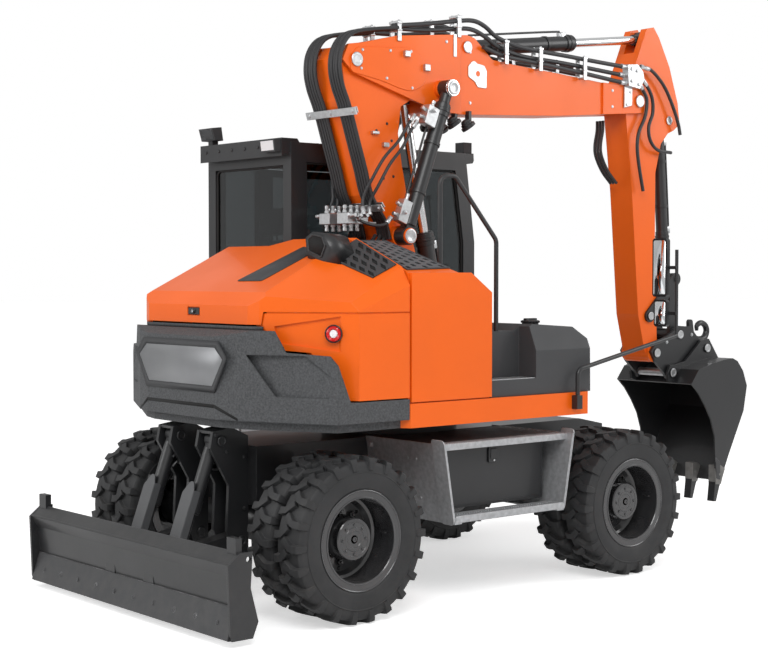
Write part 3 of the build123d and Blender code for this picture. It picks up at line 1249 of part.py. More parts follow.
def coupler():
    outline = [
        (ARM_FOOT[0] - 62, ARM_FOOT[1] + 10),
        (ARM_FOOT[0] - 20, ARM_FOOT[1] + 64),
        (LINK_PIN[0] - 60, LINK_PIN[1] + 35),
        (LINK_PIN[0] - 5, LINK_PIN[1] + 68),
        (LINK_PIN[0] + 130, LINK_PIN[1] + 60),
        (BUCKET_FRONT_PIN[0] - 40, BUCKET_FRONT_PIN[1] + 66),
        (BUCKET_FRONT_PIN[0] + 56, BUCKET_FRONT_PIN[1] + 56),
        (BUCKET_FRONT_PIN[0] + 66, BUCKET_FRONT_PIN[1] - 20),
        (BUCKET_FRONT_PIN[0] + 20, BUCKET_FRONT_PIN[1] - 56),
        (BUCKET_FRONT_PIN[0] - 100, BUCKET_FRONT_PIN[1] - 66),
        (BUCKET_REAR_PIN[0] + 100, BUCKET_REAR_PIN[1] + 62),
        (BUCKET_REAR_PIN[0] + 40, BUCKET_REAR_PIN[1] - 12),
        (BUCKET_REAR_PIN[0] + 20, BUCKET_REAR_PIN[1] - 42),
        (BUCKET_REAR_PIN[0] - 18, BUCKET_REAR_PIN[1] - 46),
        (BUCKET_REAR_PIN[0] - 46, BUCKET_REAR_PIN[1] - 10),
        (ARM_FOOT[0] - 10, ARM_FOOT[1] - 68),
    ]
    plates = pair(COUPLER_INNER, COUPLER_INNER + COUPLER_PLATE, lambda low, high: side_slab(outline, low, high))
    pin = rod_y(ARM_FOOT, PIN_SMALL, BOOM_Y - COUPLER_INNER - COUPLER_PLATE - 8, BOOM_Y + COUPLER_INNER + COUPLER_PLATE + 8)
    caps = pair(COUPLER_INNER, COUPLER_INNER + COUPLER_PLATE + 8, lambda low, high: rod_y(LINK_PIN, PIN_SMALL, low, high))
    tie = block(2860, 2900, BOOM_Y - COUPLER_INNER - 1, BOOM_Y + COUPLER_INNER + 1, 1430, 1570)
    hook = capsule((2900, 1560), (3000, 1600), 30, 30, BOOM_Y - 15, BOOM_Y + 15)
    hook += capsule((3000, 1600), (2990, 1680), 28, 24, BOOM_Y - 15, BOOM_Y + 15)
    shape = plates + pin + caps + tie + hook
    for seat in (BUCKET_FRONT_PIN, BUCKET_REAR_PIN):
        shape -= rod_y(seat, PIN_SMALL + SEAT_GAP, BOOM_Y - 200, BOOM_Y + 200)
    return shape


def bucket_outline():
    return [
        (2553, 1225),
        (2640, 1330),
        (2800, 1372),
        (2960, 1398),
        (3060, 1405),
        (3120, 1380),
        (3190, 1300),
        (3240, 1181),
        (3200, 984),
        (3014, 643),
        (2915, 445),
        (2856, 465),
        (2838, 809),
        (2790, 940),
        (2717, 1053),
        (2638, 1150),
    ]


def bucket():
    outline = bucket_outline()
    walls = pair(BUCKET_HALF - BUCKET_WALL, BUCKET_HALF, lambda low, high: side_slab(outline, low, high))
    spine = Polyline(*outline[:11])
    strip = make_face(offset(spine, amount=BUCKET_WALL, side=Side.RIGHT))
    shell = extrude(Plane.XZ.offset(-(BOOM_Y + BUCKET_HALF)) * strip, 2 * BUCKET_HALF)
    ear = [
        (2490, 1300),
        (2520, 1365),
        (2600, 1365),
        (2700, 1385),
        (2900, 1545),
        (2990, 1555),
        (3110, 1400),
        (2900, 1380),
        (2600, 1300),
        (2556, 1226),
        (2500, 1240),
    ]
    ears = pair(BUCKET_EAR_INNER, BUCKET_EAR_INNER + BUCKET_EAR_PLATE, lambda low, high: side_slab(ear, low, high))
    reach = BUCKET_EAR_INNER + BUCKET_EAR_PLATE + 10
    pins = rod_y(BUCKET_FRONT_PIN, PIN_SMALL, BOOM_Y - reach, BOOM_Y + reach)
    pins += rod_y(BUCKET_REAR_PIN, PIN_SMALL, BOOM_Y - reach, BOOM_Y + reach)
    tooth = [(2905, 560), (2960, 520), (2900, 400), (2862, 290), (2832, 292), (2850, 440), (2862, 560)]
    teeth = [side_slab(tooth, BOOM_Y + y - 32, BOOM_Y + y + 32) for y in (-348, -116, 116, 348)]
    shape = walls + shell + ears + pins
    for piece in teeth:
        shape += piece
    return shape


def lift_barrel():
    return barrel(LIFT_BASE, LIFT_ROD, BOOM_Y, 1050, 60, 34, 68, PIN_LARGE, EYE_HALF)


def lift_ram():
    return ram(LIFT_BASE, LIFT_ROD, BOOM_Y, 600, 34, 64, EYE_HALF)


def adjust_barrel(side):
    return barrel(ADJUST_BASE, ADJUST_ROD, BOOM_Y + side * ADJUST_Y, 950, 50, 30, 60, PIN_SMALL, ADJUST_EYE_HALF)


def adjust_ram(side):
    y = BOOM_Y + side * ADJUST_Y
    rod = ram(ADJUST_BASE, ADJUST_ROD, y, 150, 30, 56, ADJUST_EYE_HALF)
    low = y + ADJUST_EYE_HALF - 1 if side > 0 else y - ADJUST_EYE_HALF - ADJUST_CAP
    return rod + rod_y(ADJUST_ROD, 54, low, low + ADJUST_CAP + 1)


def arm_barrel():
    return barrel(ARM_CYL_BASE, ARM_CYL_ROD, BOOM_Y, 1180, 55, 32, 64, PIN_LARGE, EYE_HALF)


def arm_ram():
    return ram(ARM_CYL_BASE, ARM_CYL_ROD, BOOM_Y, 650, 32, 60, EYE_HALF)


def bucket_barrel():
    return barrel(BUCKET_CYL_BASE, ROCKER_TOP, BOOM_Y, 950, 46, 28, 56, PIN_SMALL, EYE_HALF)


def bucket_ram():
    return ram(BUCKET_CYL_BASE, ROCKER_TOP, BOOM_Y, 300, 28, 48, EYE_HALF)


parts["chassis_frame"] = chassis_frame()
parts["blade_towers"] = both_sides(blade_tower)
parts["axles"] = rear_axle_beam() + front_axle_beam()
parts["driveline"] = driveline()
parts["step_frames"] = step_frames()
parts["tool_boxes"] = tool_boxes()
parts["tool_door_right"] = tool_box_door()
parts["tool_door_left"] = mirrored(tool_box_door())
parts["knuckle_right"] = knuckle()
parts["knuckle_left"] = mirrored(knuckle())
parts["tie_rod"] = tie_rod()
one_tyre = tyre()
for place_name, axle_x in (("front", FRONT_AXLE_X), ("rear", REAR_AXLE_X)):
    rims = wheel_pair(axle_x)
    tyres = twin_tyres(axle_x, one_tyre)
    parts["rims_" + place_name + "_right"] = rims
    parts["rims_" + place_name + "_left"] = mirrored(rims)
    parts["tyres_" + place_name + "_right"] = tyres
    parts["tyres_" + place_name + "_left"] = mirrored(tyres)
parts["blade"] = blade()
parts["blade_barrels"] = both_sides(blade_barrel)
parts["blade_rods"] = both_sides(blade_ram)
parts["turntable"] = turntable()
parts["counterweight"] = counterweight()
parts["engine_block"] = engine_block()
parts["hood"] = hood()
parts["exhaust"] = exhaust()
parts["tail_panels"] = tail_panels()
parts["side_housing"] = side_housing()
parts["side_door"] = side_door()
parts["fuel_tank"] = fuel_tank()
parts["cab_frame"] = cab_frame()
parts["cab_glass"] = cab_glass()
parts["cab_door"] = door_leaf()
parts["door_glass"] = door_glass()
parts["cab_interior"] = cab_interior()
parts["seat"] = seat()
parts["handrails"] = handrails()
parts["cab_lamps"] = cab_lamps()
parts["base_boom"] = base_boom()
parts["upper_boom"] = upper_boom()
parts["base_hoses"] = hose_bundle(BASE_HOSE_LINE, HOSE_OFFSETS, BASE_CLAMPS, BASE_HALF - 1, 40) - base_boom()
parts["upper_hoses"] = hose_bundle(UPPER_HOSE_LINE, UPPER_HOSE_OFFSETS, UPPER_CLAMPS, UPPER_HALF - 1, 40) - upper_boom()
parts["arm"] = arm()
parts["lift_barrel"] = lift_barrel()
parts["lift_rod"] = lift_ram()
parts["adjust_barrels"] = adjust_barrel(1) + adjust_barrel(-1)
parts["adjust_rods"] = adjust_ram(1) + adjust_ram(-1)
parts["arm_barrel"] = arm_barrel()
parts["arm_rod"] = arm_ram()
parts["bucket_barrel"] = bucket_barrel()
parts["bucket_rod"] = bucket_ram()
parts["rocker"] = rocker()
parts["link"] = link()
parts["coupler"] = coupler()
parts["bucket"] = bucket()

os.makedirs("parts", exist_ok=True)
for name, shape in parts.items():
    export_step(Pos(SWING_AXIS_X, 0, 0) * shape, "parts/" + name + ".step")
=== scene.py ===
# %% [markdown]
# # A wheeled excavator, dressed for its portrait
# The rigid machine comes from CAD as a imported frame: every plate, pin and cylinder is already in
# place and rides on its own body. This script is only about looks. It gives each part its finish
# and adds what is too fine for the solids: tread lugs, hoses, bolts, vents, lenses and cushions.
# Loading the frame first means that every new piece can be put where the real part is.

# %% Load the frame
import json

import bmesh
import bpy
import numpy as np
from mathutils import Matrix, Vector


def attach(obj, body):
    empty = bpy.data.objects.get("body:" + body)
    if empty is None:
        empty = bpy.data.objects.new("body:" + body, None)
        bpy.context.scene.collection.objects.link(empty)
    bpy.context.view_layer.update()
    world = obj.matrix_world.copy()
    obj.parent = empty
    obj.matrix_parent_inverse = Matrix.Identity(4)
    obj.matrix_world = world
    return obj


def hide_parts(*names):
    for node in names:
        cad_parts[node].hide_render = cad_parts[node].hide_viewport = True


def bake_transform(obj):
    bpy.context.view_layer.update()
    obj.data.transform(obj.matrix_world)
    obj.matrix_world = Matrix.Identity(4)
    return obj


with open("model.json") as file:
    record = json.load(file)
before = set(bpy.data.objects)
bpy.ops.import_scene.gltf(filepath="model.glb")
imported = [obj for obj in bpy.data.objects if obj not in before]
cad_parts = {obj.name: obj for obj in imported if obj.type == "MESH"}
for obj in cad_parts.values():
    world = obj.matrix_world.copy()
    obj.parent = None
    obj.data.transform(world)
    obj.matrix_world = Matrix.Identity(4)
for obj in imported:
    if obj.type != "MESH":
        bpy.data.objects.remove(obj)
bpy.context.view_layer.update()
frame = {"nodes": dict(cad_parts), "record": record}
NODES = frame["nodes"]
SCENE = bpy.context.scene

# %% [markdown]
# ## One place to measure from
# Sizes on the machine are easiest to give from the axis that the upper structure turns about.
# The frame's own origin lies forward of it, so one shift is kept here and is added when a mesh
# is made. Everything else in this file counts X from the turning axis, in metres.

# %% The shift between the two origins
TURN_AXIS_X = -0.552
BOOM_Y = -0.2


def unit(vectors):
    """Each vector divided by its own length."""
    vectors = np.asarray(vectors, float)
    return vectors / np.maximum(np.linalg.norm(vectors, axis=-1, keepdims=True), 1e-12)


# %% [markdown]
# ## The camera
# The portrait was taken from behind and to the right, a little above the steps, with a long lens
# so that the wheels hardly taper. The viewing direction is worked out from two angles, and the
# focal length from the picture's width in pixels. There is no shift and no depth of field: a
# studio shot of a machine is sharp from the blade to the bucket.

# %% Camera
CAMERA_PLACE = np.array([-7.515, -8.2845, 2.0815])
YAW, PITCH = 0.8748, -0.039
PICTURE_WIDTH, FOCAL_PIXELS = 768, 1567.1
SENSOR = 36.0


def view_turn(yaw, pitch):
    """Turns a camera that looks down -Z so that it looks along the two angles."""
    ahead = Vector((np.cos(pitch) * np.cos(yaw), np.cos(pitch) * np.sin(yaw), np.sin(pitch)))
    return ahead.to_track_quat("-Z", "Y")


camera_data = bpy.data.cameras.new("portrait_camera")
camera_data.sensor_width = SENSOR
camera_data.lens = FOCAL_PIXELS * SENSOR / PICTURE_WIDTH
camera_data.clip_end = 200
camera = bpy.data.objects.new("portrait_camera", camera_data)
camera.location = CAMERA_PLACE
camera.rotation_mode = "QUATERNION"
camera.rotation_quaternion = view_turn(YAW, PITCH)
SCENE.collection.objects.link(camera)
SCENE.camera = camera
print("lens", round(camera_data.lens, 2), "mm")

# %% [markdown]
# ## The studio
# The machine stands on a white sweep. A floor that is only lit never looks quite white, and more
# light would bleach the paint, so the floor and the world add a little of their own white for the
# camera and for reflections only. The floor keeps its soft shadow, because its lit part is still
# real light. Three large lamps stand in for soft boxes: one high on the right, one low behind, and
# one far on the left to open the shadows.

# %% Node helpers
class Tree:
    """Short words for adding nodes and links to one node tree."""

    def __init__(self, tree):
        self.tree = tree
        self.x = -900

    def add(self, kind, inputs=None, **settings):
        node = self.tree.nodes.new(kind)
        self.x += 40
        node.location = (self.x, 0)
        for key, value in settings.items():
            setattr(node, key, value)
        for key, value in (inputs or {}).items():
            target = node.inputs[key]
            if isinstance(value, bpy.types.NodeSocket):
                self.tree.links.new(value, target)
            else:
                target.default_value = value
        return node

    def math(self, operation, a, b=0.0, c=0.0, clamp=False):
        node = self.add("ShaderNodeMath", {0: a, 1: b, 2: c}, operation=operation, use_clamp=clamp)
        return node.outputs[0]

    def ramp(self, value, low, high, out_low=0.0, out_high=1.0):
        """The value stretched so that low gives out_low and high gives out_high, clamped."""
        node = self.add(
            "ShaderNodeMapRange", {0: value, 1: low, 2: high, 3: out_low, 4: out_high}, clamp=True
        )
        return node.outputs[0]

    def noise(self, place, **inputs):
        """Noise on the object's own coordinates."""
        return self.add("ShaderNodeTexNoise", {"Vector": place.outputs["Object"], **inputs})

    def mix(self, factor, first, second):
        """Two colours mixed by a mask."""
        node = self.add("ShaderNodeMix", {0: factor, 6: first, 7: second}, data_type="RGBA")
        return node.outputs[2]


def new_material(name):
    """A material with plain nodes; returns (material, Tree, its shader)."""
    material = bpy.data.materials.new(name)
    material.use_nodes = True
    return material, Tree(material.node_tree), material.node_tree.nodes["Principled BSDF"]


# %% Floor and world
WORLD_LIGHT, FLOOR_GLOW, GLOSSY_SHARE = 0.5, 0.55, 0.25


def white_ray(t):
    """1 for rays that show the background itself, straight or through glass, less in a reflection, 0 for light."""
    path = t.add("ShaderNodeLightPath")
    mirrored_part = t.math("MULTIPLY", path.outputs["Is Glossy Ray"], GLOSSY_SHARE)
    seen = t.math("ADD", path.outputs["Is Camera Ray"], mirrored_part)
    return t.math("ADD", seen, path.outputs["Is Transmission Ray"], clamp=True)


world = bpy.data.worlds.new("studio")
SCENE.world = world
world.use_nodes = True
t = Tree(world.node_tree)
background = world.node_tree.nodes["Background"]
background.inputs["Color"].default_value = (1, 1, 1, 1)
world.node_tree.links.new(t.ramp(white_ray(t), 0, 1, WORLD_LIGHT, 1.0), background.inputs["Strength"])

floor_finish, t, floor_shader = new_material("studio_floor")
FLOOR_LOOK = {"Base Color": (0.93, 0.93, 0.93, 1), "Roughness": 0.75, "Specular IOR Level": 0.25,
              "Emission Color": (1, 1, 1, 1)}
for key, value in FLOOR_LOOK.items():
    floor_shader.inputs[key].default_value = value
glow = t.math("MULTIPLY", white_ray(t), FLOOR_GLOW)
floor_finish.node_tree.links.new(glow, floor_shader.inputs["Emission Strength"])

FLOOR_HALF = 90.0
floor_mesh = bpy.data.meshes.new("floor")
floor_mesh.from_pydata(
    [(x * FLOOR_HALF, y * FLOOR_HALF, 0) for x, y in ((-1, -1), (1, -1), (1, 1), (-1, 1))], [], [(0, 1, 2, 3)]
)
floor = bpy.data.objects.new("floor", floor_mesh)
floor.data.materials.append(floor_finish)
SCENE.collection.objects.link(floor)

# %% Soft boxes
# name, place, what it points at, size in metres, power in watts
SOFT_BOXES = (
    ("key_box", (-5.5, -6.5, 8.0), (0.0, 0.0, 1.2), 5.0, 520),
    ("rear_box", (-8.5, 3.0, 4.5), (-1.5, 0.0, 1.2), 4.0, 190),
    ("front_box", (6.5, -5.5, 5.5), (1.5, 0.0, 1.8), 4.0, 210),
)
for name, place, aim, size, power in SOFT_BOXES:
    lamp = bpy.data.lights.new(name, "AREA")
    lamp.size = size
    lamp.energy = power
    holder = bpy.data.objects.new(name, lamp)
    holder.location = place
    holder.rotation_euler = (Vector(aim) - Vector(place)).to_track_quat("-Z", "Y").to_euler()
    SCENE.collection.objects.link(holder)
SCENE.view_settings.view_transform = "Standard"
print("lamps", len(SOFT_BOXES))
# %% [markdown]
# ## Effects that several finishes share
# Real sheet metal has no knife edges: the press leaves a small radius, and paint wears thin on it.
# A bevel on every CAD edge would mean new meshes, so a node group rounds only the shading: the
# Bevel node gives a softened normal, and where it differs from the true one there is an edge.
# The groups give back only masks, heights and normals, so one group serves paint, zinc and plastic.

# %% Group helper
def new_group(name, inputs, outputs):
    """An empty shader group with its sockets; returns (group, Tree, input node, output node)."""
    group = bpy.data.node_groups.new(name, "ShaderNodeTree")
    for key, value in inputs.items():
        made = group.interface.new_socket(key, in_out="INPUT", socket_type="NodeSocketFloat")
        made.default_value = value
    for key, kind in outputs.items():
        group.interface.new_socket(key, in_out="OUTPUT", socket_type="NodeSocket" + kind)
    t = Tree(group)
    return group, t, t.add("NodeGroupInput"), t.add("NodeGroupOutput")


# %% Rounded edges
edges, t, given, result = new_group(
    "rounded_edges", {"Radius": 0.006, "Wear": 0.5}, {"Normal": "Vector", "Worn": "Float"}
)
soft = t.add("ShaderNodeBevel", {"Radius": given.outputs["Radius"]}, samples=4)
true = t.add("ShaderNodeNewGeometry")
facing = t.add("ShaderNodeVectorMath", {0: soft.outputs[0], 1: true.outputs["Normal"]}, operation="DOT_PRODUCT")
place = t.add("ShaderNodeTexCoord")
patches = t.noise(place, Scale=9.0, Detail=5.0)
edge = t.ramp(facing.outputs["Value"], 0.97, 0.8)
patchy = t.ramp(patches.outputs[0], 0.45, 0.62)
worn = t.math("MULTIPLY", t.math("MULTIPLY", edge, patchy), given.outputs["Wear"], clamp=True)
edges.links.new(soft.outputs[0], result.inputs["Normal"])
edges.links.new(worn, result.inputs["Worn"])

# %% Grain: a fine height field and a slow change of tone
grain, t, given, result = new_group(
    "surface_grain", {"Scale": 300.0, "Sharpness": 0.5, "Tone Scale": 2.0}, {"Height": "Float", "Tone": "Float"}
)
place = t.add("ShaderNodeTexCoord")
fine = t.noise(place, Scale=given.outputs["Scale"], Detail=3.0, Roughness=given.outputs["Sharpness"])
slow = t.noise(place, Scale=given.outputs["Tone Scale"], Detail=4.0)
grain.links.new(fine.outputs[0], result.inputs["Height"])
grain.links.new(t.ramp(slow.outputs[0], 0.3, 0.7), result.inputs["Tone"])

# %% Dust: more on faces that look up and near the ground
dust, t, given, result = new_group("road_dust", {"Amount": 0.3, "Reach": 0.9}, {"Mask": "Float"})
place = t.add("ShaderNodeTexCoord")
apart = t.add("ShaderNodeSeparateXYZ", {0: place.outputs["Object"]})
true = t.add("ShaderNodeNewGeometry")
up = t.add("ShaderNodeSeparateXYZ", {0: true.outputs["Normal"]})
clouds = t.noise(place, Scale=14.0, Detail=6.0, Roughness=0.65)
low = t.math("SUBTRACT", 1.0, t.math("DIVIDE", apart.outputs["Z"], given.outputs["Reach"]), clamp=True)
lying = t.ramp(up.outputs["Z"], 0.2, 1.0, 0.25, 1.0)
cloudy = t.ramp(clouds.outputs[0], 0.38, 0.7)
mask = t.math("MULTIPLY", t.math("MULTIPLY", low, lying), t.math("MULTIPLY", cloudy, given.outputs["Amount"]),
              clamp=True)
dust.links.new(mask, result.inputs["Mask"])
print("groups", [g.name for g in bpy.data.node_groups])

# %% [markdown]
# ## The finishes
# One function starts every finish: base colour, a slow change of tone, dust, edge wear and a fine
# bump, all from the three groups. What makes paint look like paint is the clear coat over a
# slightly uneven colour, and what makes a casting look cast is a coarse, deep grain with no coat.
# Even values go straight into the shader's own sockets; only what varies goes through nodes.

# %% Finish maker
DUST_COLOUR, COAT_ROUGHNESS = (0.23, 0.21, 0.19, 1), 0.08


def finish(name, colour, rough, shade=0.88, grain_scale=400.0, grain_depth=0.0002, tone_scale=2.0, metal=0.0,
           coat=0.0, wear=0.25, worn_colour=None, edge=0.005, dusty=0.25, reach=0.9, sockets=None):
    """A material in layers: colour and shade mixed by slow noise, wear at edges, then dust."""
    material, t, shader = new_material(name)
    plain = {"Metallic": metal, "Coat Weight": coat, "Coat Roughness": COAT_ROUGHNESS, **(sockets or {})}
    for key, value in plain.items():
        shader.inputs[key].default_value = value
    rounded = t.add("ShaderNodeGroup", {"Radius": edge, "Wear": wear}, node_tree=edges)
    fine = t.add("ShaderNodeGroup", {"Scale": grain_scale, "Tone Scale": tone_scale}, node_tree=grain)
    powder = t.add("ShaderNodeGroup", {"Amount": dusty, "Reach": reach}, node_tree=dust)
    base = tuple(colour) + (1,)
    darker = tuple(c * shade for c in colour) + (1,)
    look = t.mix(fine.outputs["Tone"], base, darker)
    bright = tuple(worn_colour or tuple(min(1.0, c * 1.8 + 0.03) for c in colour)) + (1,)
    look = t.mix(rounded.outputs["Worn"], look, bright)
    look = t.mix(powder.outputs["Mask"], look, DUST_COLOUR)
    gloss = t.ramp(fine.outputs["Tone"], 0, 1, rough, min(1.0, rough + 0.08))
    gloss = t.math("ADD", gloss, t.math("MULTIPLY", powder.outputs["Mask"], 0.4), clamp=True)
    bump = t.add("ShaderNodeBump", {"Height": fine.outputs["Height"], "Distance": grain_depth, "Strength": 1.0,
                                    "Normal": rounded.outputs["Normal"]})
    link = material.node_tree.links.new
    link(look, shader.inputs["Base Color"])
    link(gloss, shader.inputs["Roughness"])
    link(bump.outputs[0], shader.inputs["Normal"])
    return material


# %% Paints, castings, rubber and zinc
ORANGE = (0.88, 0.13, 0.003)
# name: colour, roughness, shade, grain scale, grain depth, tone scale, metal, coat, wear, worn colour,
# edge radius, dust, height that dust reaches, further sockets; a row that stops early keeps finish's defaults
FINISHES = {
    "orange_paint": (ORANGE, 0.36, 0.93, 260, 0.0001, 2, 0, 0.15, 0.12, (0.95, 0.3, 0.06), 0.005, 0.1, 0.9,
                     {"Specular IOR Level": 0.3}),
    "black_paint": ((0.016, 0.0165, 0.018), 0.38, 0.8, 300, 0.0002, 2, 0, 0.15, 0.3, (0.07, 0.07, 0.075), 0.005, 0.18),
    "grey_casting": ((0.08, 0.083, 0.088), 0.6, 0.45, 420, 0.0022, 85, 0, 0, 0.2, (0.13, 0.13, 0.135), 0.012, 0.1),
    "black_rubber": ((0.019, 0.0195, 0.021), 0.58, 0.75, 160, 0.0006, 5, 0, 0, 0.35, (0.055, 0.055, 0.057), 0.005, 0.22,
                     1.2),
    "rim_paint": ((0.03, 0.03, 0.032), 0.18, 0.85, 200, 0.00008, 2, 0, 0.6, 0.15, (0.1, 0.1, 0.105), 0.004, 0.15),
    "zinc_sheet": ((0.5, 0.51, 0.525), 0.4, 0.72, 120, 0.0002, 34, 0.55, 0, 0.3, (0.75, 0.75, 0.76), 0.003, 0.12),
    "chrome_rod": ((0.78, 0.79, 0.8), 0.1, 0.95, 500, 0.00003, 2, 1, 0, 0, None, 0.002, 0.05),
    "cab_plastic": ((0.03, 0.031, 0.033), 0.62, 0.8, 900, 0.0004, 2, 0, 0, 0.1, None, 0.004, 0.05),
    "tank_plastic": ((0.042, 0.043, 0.046), 0.55, 0.82, 700, 0.0005, 2, 0, 0, 0.15, (0.09, 0.09, 0.095), 0.008, 0.15,
                     2),
    "hose_rubber": ((0.026, 0.026, 0.028), 0.42, 0.7, 500, 0.0003, 2, 0, 0, 0, None, 0.001, 0.15),
    "fitting_metal": ((0.6, 0.61, 0.62), 0.3, 0.8, 300, 0.0002, 40, 0.9, 0, 0.2, (0.85, 0.85, 0.85), 0.0015, 0.05),
    "seat_fabric": ((0.035, 0.036, 0.04), 0.85, 0.6, 1400, 0.0009, 500, 0, 0, 0, None, 0.004, 0, 0.9,
                    {"Sheen Weight": 0.3}),
    # black for gaskets, cords and window rubber, and also painted shade: behind grille holes, over the exhaust's mouth
    # and in the tail's groove
    "gasket_and_shade_black": ((0.006, 0.006, 0.006), 0.8, 0.88, 400, 0.0002, 2, 0, 0, 0, None, 0.001, 0.02),
    "rim_edge": ((0.07, 0.07, 0.073), 0.2, 0.8, 200, 0.00008, 2, 0.3, 0.5, 0.2, (0.25, 0.25, 0.26), 0.002, 0.1),
    "worn_steel": ((0.04, 0.041, 0.044), 0.36, 0.75, 240, 0.0003, 2, 0, 0, 1, (0.32, 0.32, 0.33), 0.006, 0.3),
    "guard_grey": ((0.085, 0.087, 0.091), 0.42, 0.85, 300, 0.0002, 2, 0, 0, 0.4, (0.2, 0.2, 0.21), 0.004, 0.15),
    "brushed_plate": ((0.3, 0.305, 0.315), 0.36, 0.6, 300, 0.0001, 1.2, 0.7, 0, 0, None, 0.002, 0.05),
    "tooth_steel": ((0.23, 0.225, 0.215), 0.48, 0.7, 200, 0.0004, 20, 0.4, 0, 0.5, (0.4, 0.4, 0.4), 0.004, 0.3),
    "mirror_dark": ((0.01, 0.011, 0.013), 0.08, 0.88, 400, 0.00001, 2, 0, 0, 0, None, 0.001, 0),
    "mesh_grey": ((0.105, 0.11, 0.118), 0.5, 0.8, 500, 0.0003, 2, 0, 0, 0.2, (0.2, 0.2, 0.21), 0.002, 0.1),
}
MADE = {name: finish(name, *row) for name, row in FINISHES.items()}
(orange_paint, black_paint, grey_casting, black_rubber, rim_paint, zinc_sheet, _, cab_plastic, tank_plastic,
 hose_rubber, fitting_metal, seat_fabric, gasket_and_shade_black, rim_edge, worn_steel, guard_grey, brushed_plate, tooth_steel,
 mirror_dark, mesh_grey) = MADE.values()
print("finishes", len(MADE))

# %% Glass and lenses
def clear_finish(name, colour, rough, through=1.0, ior=1.45, glow=None):
    """A see-through material: plain tint, transmission and index, and a roughness that follows the grain's tone."""
    material, t, shader = new_material(name)
    for key, value in (("Base Color", tuple(colour) + (1,)), ("Transmission Weight", through), ("IOR", ior)):
        shader.inputs[key].default_value = value
    fine = t.add("ShaderNodeGroup", {"Tone Scale": 3.0}, node_tree=grain)
    material.node_tree.links.new(t.ramp(fine.outputs["Tone"], 0, 1, rough, rough + 0.02), shader.inputs["Roughness"])
    if glow:
        shader.inputs["Emission Color"].default_value = tuple(glow[0]) + (1,)
        shader.inputs["Emission Strength"].default_value = glow[1]
    return material


tinted_glass = clear_finish("tinted_glass", (0.13, 0.145, 0.15), 0.0)
clear_lens = clear_finish("clear_lens", (0.85, 0.87, 0.9), 0.05)
red_lens = clear_finish("red_lens", (0.75, 0.01, 0.01), 0.08, through=0.5, glow=((0.9, 0.02, 0.02), 0.1))
white_lens = clear_finish("white_lens", (0.9, 0.9, 0.92), 0.2, through=0.3, glow=((1, 0.95, 0.92), 0.08))
mirror_face = finish("mirror_face", (0.8, 0.82, 0.84), 0.03, metal=1.0, wear=0.0, edge=0.001, dusty=0.0,
                     grain_depth=0.00001)

# %% [markdown]
# ## Dressing the CAD nodes
# The record says which finish each node takes. Some nodes are one casting in CAD but carry two
# finishes on the real machine: a ram is a chrome rod with a black eye. The node then takes the
# finish of its larger part, and a thin black sleeve over the eye follows further down.

# %% Assign finishes
BY_SLOT = dict(MADE, tinted_glass=tinted_glass)
SLOT_OF = {part["node"]: part["material_slot"] for part in frame["record"]["subparts"]}


def wear_finish(node, material):
    """Gives a CAD node one material in place of its plain one."""
    data = NODES[node].data
    data.materials.clear()
    data.materials.append(material)


for node, slot in SLOT_OF.items():
    wear_finish(node, BY_SLOT[slot])
wear_finish("blade_rods", black_paint)
print("dressed", len(SLOT_OF), "nodes; bare:", sorted(set(NODES) - set(SLOT_OF)))
# %% [markdown]
# ## Meshes from whole arrays
# Every added piece is computed as arrays of points and faces, so a shape is one formula and a
# thousand bolts are one multiplication. A piece is welded where its points meet, which closes the
# poles and seams of turned shapes, and is written into Blender in one go.

# %% Arrays into a mesh
WELD_GRID = 2e5  # points that share a place on a grid of 5 micrometres are one


def weld(points, faces):
    """Merges points that share a place; a quad that loses a corner becomes a triangle."""
    points = np.asarray(points, float).reshape(-1, 3)
    places = np.round(points * WELD_GRID).astype(np.int64)
    _, first, where = np.unique(places, axis=0, return_index=True, return_inverse=True)
    where = where.ravel()
    kept = []
    for block in faces:
        block = where[np.asarray(block, int)]
        if block.shape[1] != 4:
            kept.append(block)
            continue
        same = block == np.roll(block, -1, axis=1)
        kept.append(block[~same.any(1)])
        once = block[same.sum(1) == 1]
        if len(once):
            keep = ~(once == np.roll(once, -1, axis=1))
            kept.append(once[keep].reshape(-1, 3))
    return points[first], [block for block in kept if len(block)]


# finishes that are no slot of their own, by the slot that they belong to
SLOT_MEMBERS = {
    "zinc_sheet": (fitting_metal, mesh_grey, brushed_plate), "black_paint": (worn_steel, guard_grey),
    "cab_plastic": (gasket_and_shade_black, tank_plastic), "rim_paint": (rim_edge,), "grey_casting": (tooth_steel,),
    "tinted_glass": (clear_lens, red_lens, white_lens, mirror_face, mirror_dark),
}
SLOT_FOR = {material: slot for slot, material in BY_SLOT.items()}
SLOT_FOR.update({material: slot for slot, members in SLOT_MEMBERS.items() for material in members})
PIECES = []


def piece(name, shape, body, material, smooth=None):
    """One object from (points, [faces, ...]), riding on its body. smooth is the angle in degrees under which
    faces flow together."""
    points, faces = weld(*shape)
    mesh = bpy.data.meshes.new(name)
    mesh.vertices.add(len(points))
    mesh.vertices.foreach_set("co", (points + (TURN_AXIS_X, 0, 0)).astype(np.float32).ravel())
    corners = np.concatenate([block.ravel() for block in faces])
    sizes = np.concatenate([np.full(len(block), block.shape[1]) for block in faces])
    mesh.loops.add(len(corners))
    mesh.loops.foreach_set("vertex_index", corners.astype(np.int32))
    mesh.polygons.add(len(sizes))
    mesh.polygons.foreach_set("loop_start", np.concatenate([[0], np.cumsum(sizes)[:-1]]).astype(np.int32))
    mesh.update(calc_edges=True)
    mesh.validate()
    obj = bpy.data.objects.new(name, mesh)
    SCENE.collection.objects.link(obj)
    if smooth:
        mesh.polygons.foreach_set("use_smooth", np.ones(len(mesh.polygons), bool))
        mesh.set_sharp_from_angle(angle=np.radians(smooth))
    mesh.materials.append(material)
    if body:
        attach(obj, body)
    PIECES.append((name, sum(len(p.vertices) - 2 for p in mesh.polygons)))
    return obj


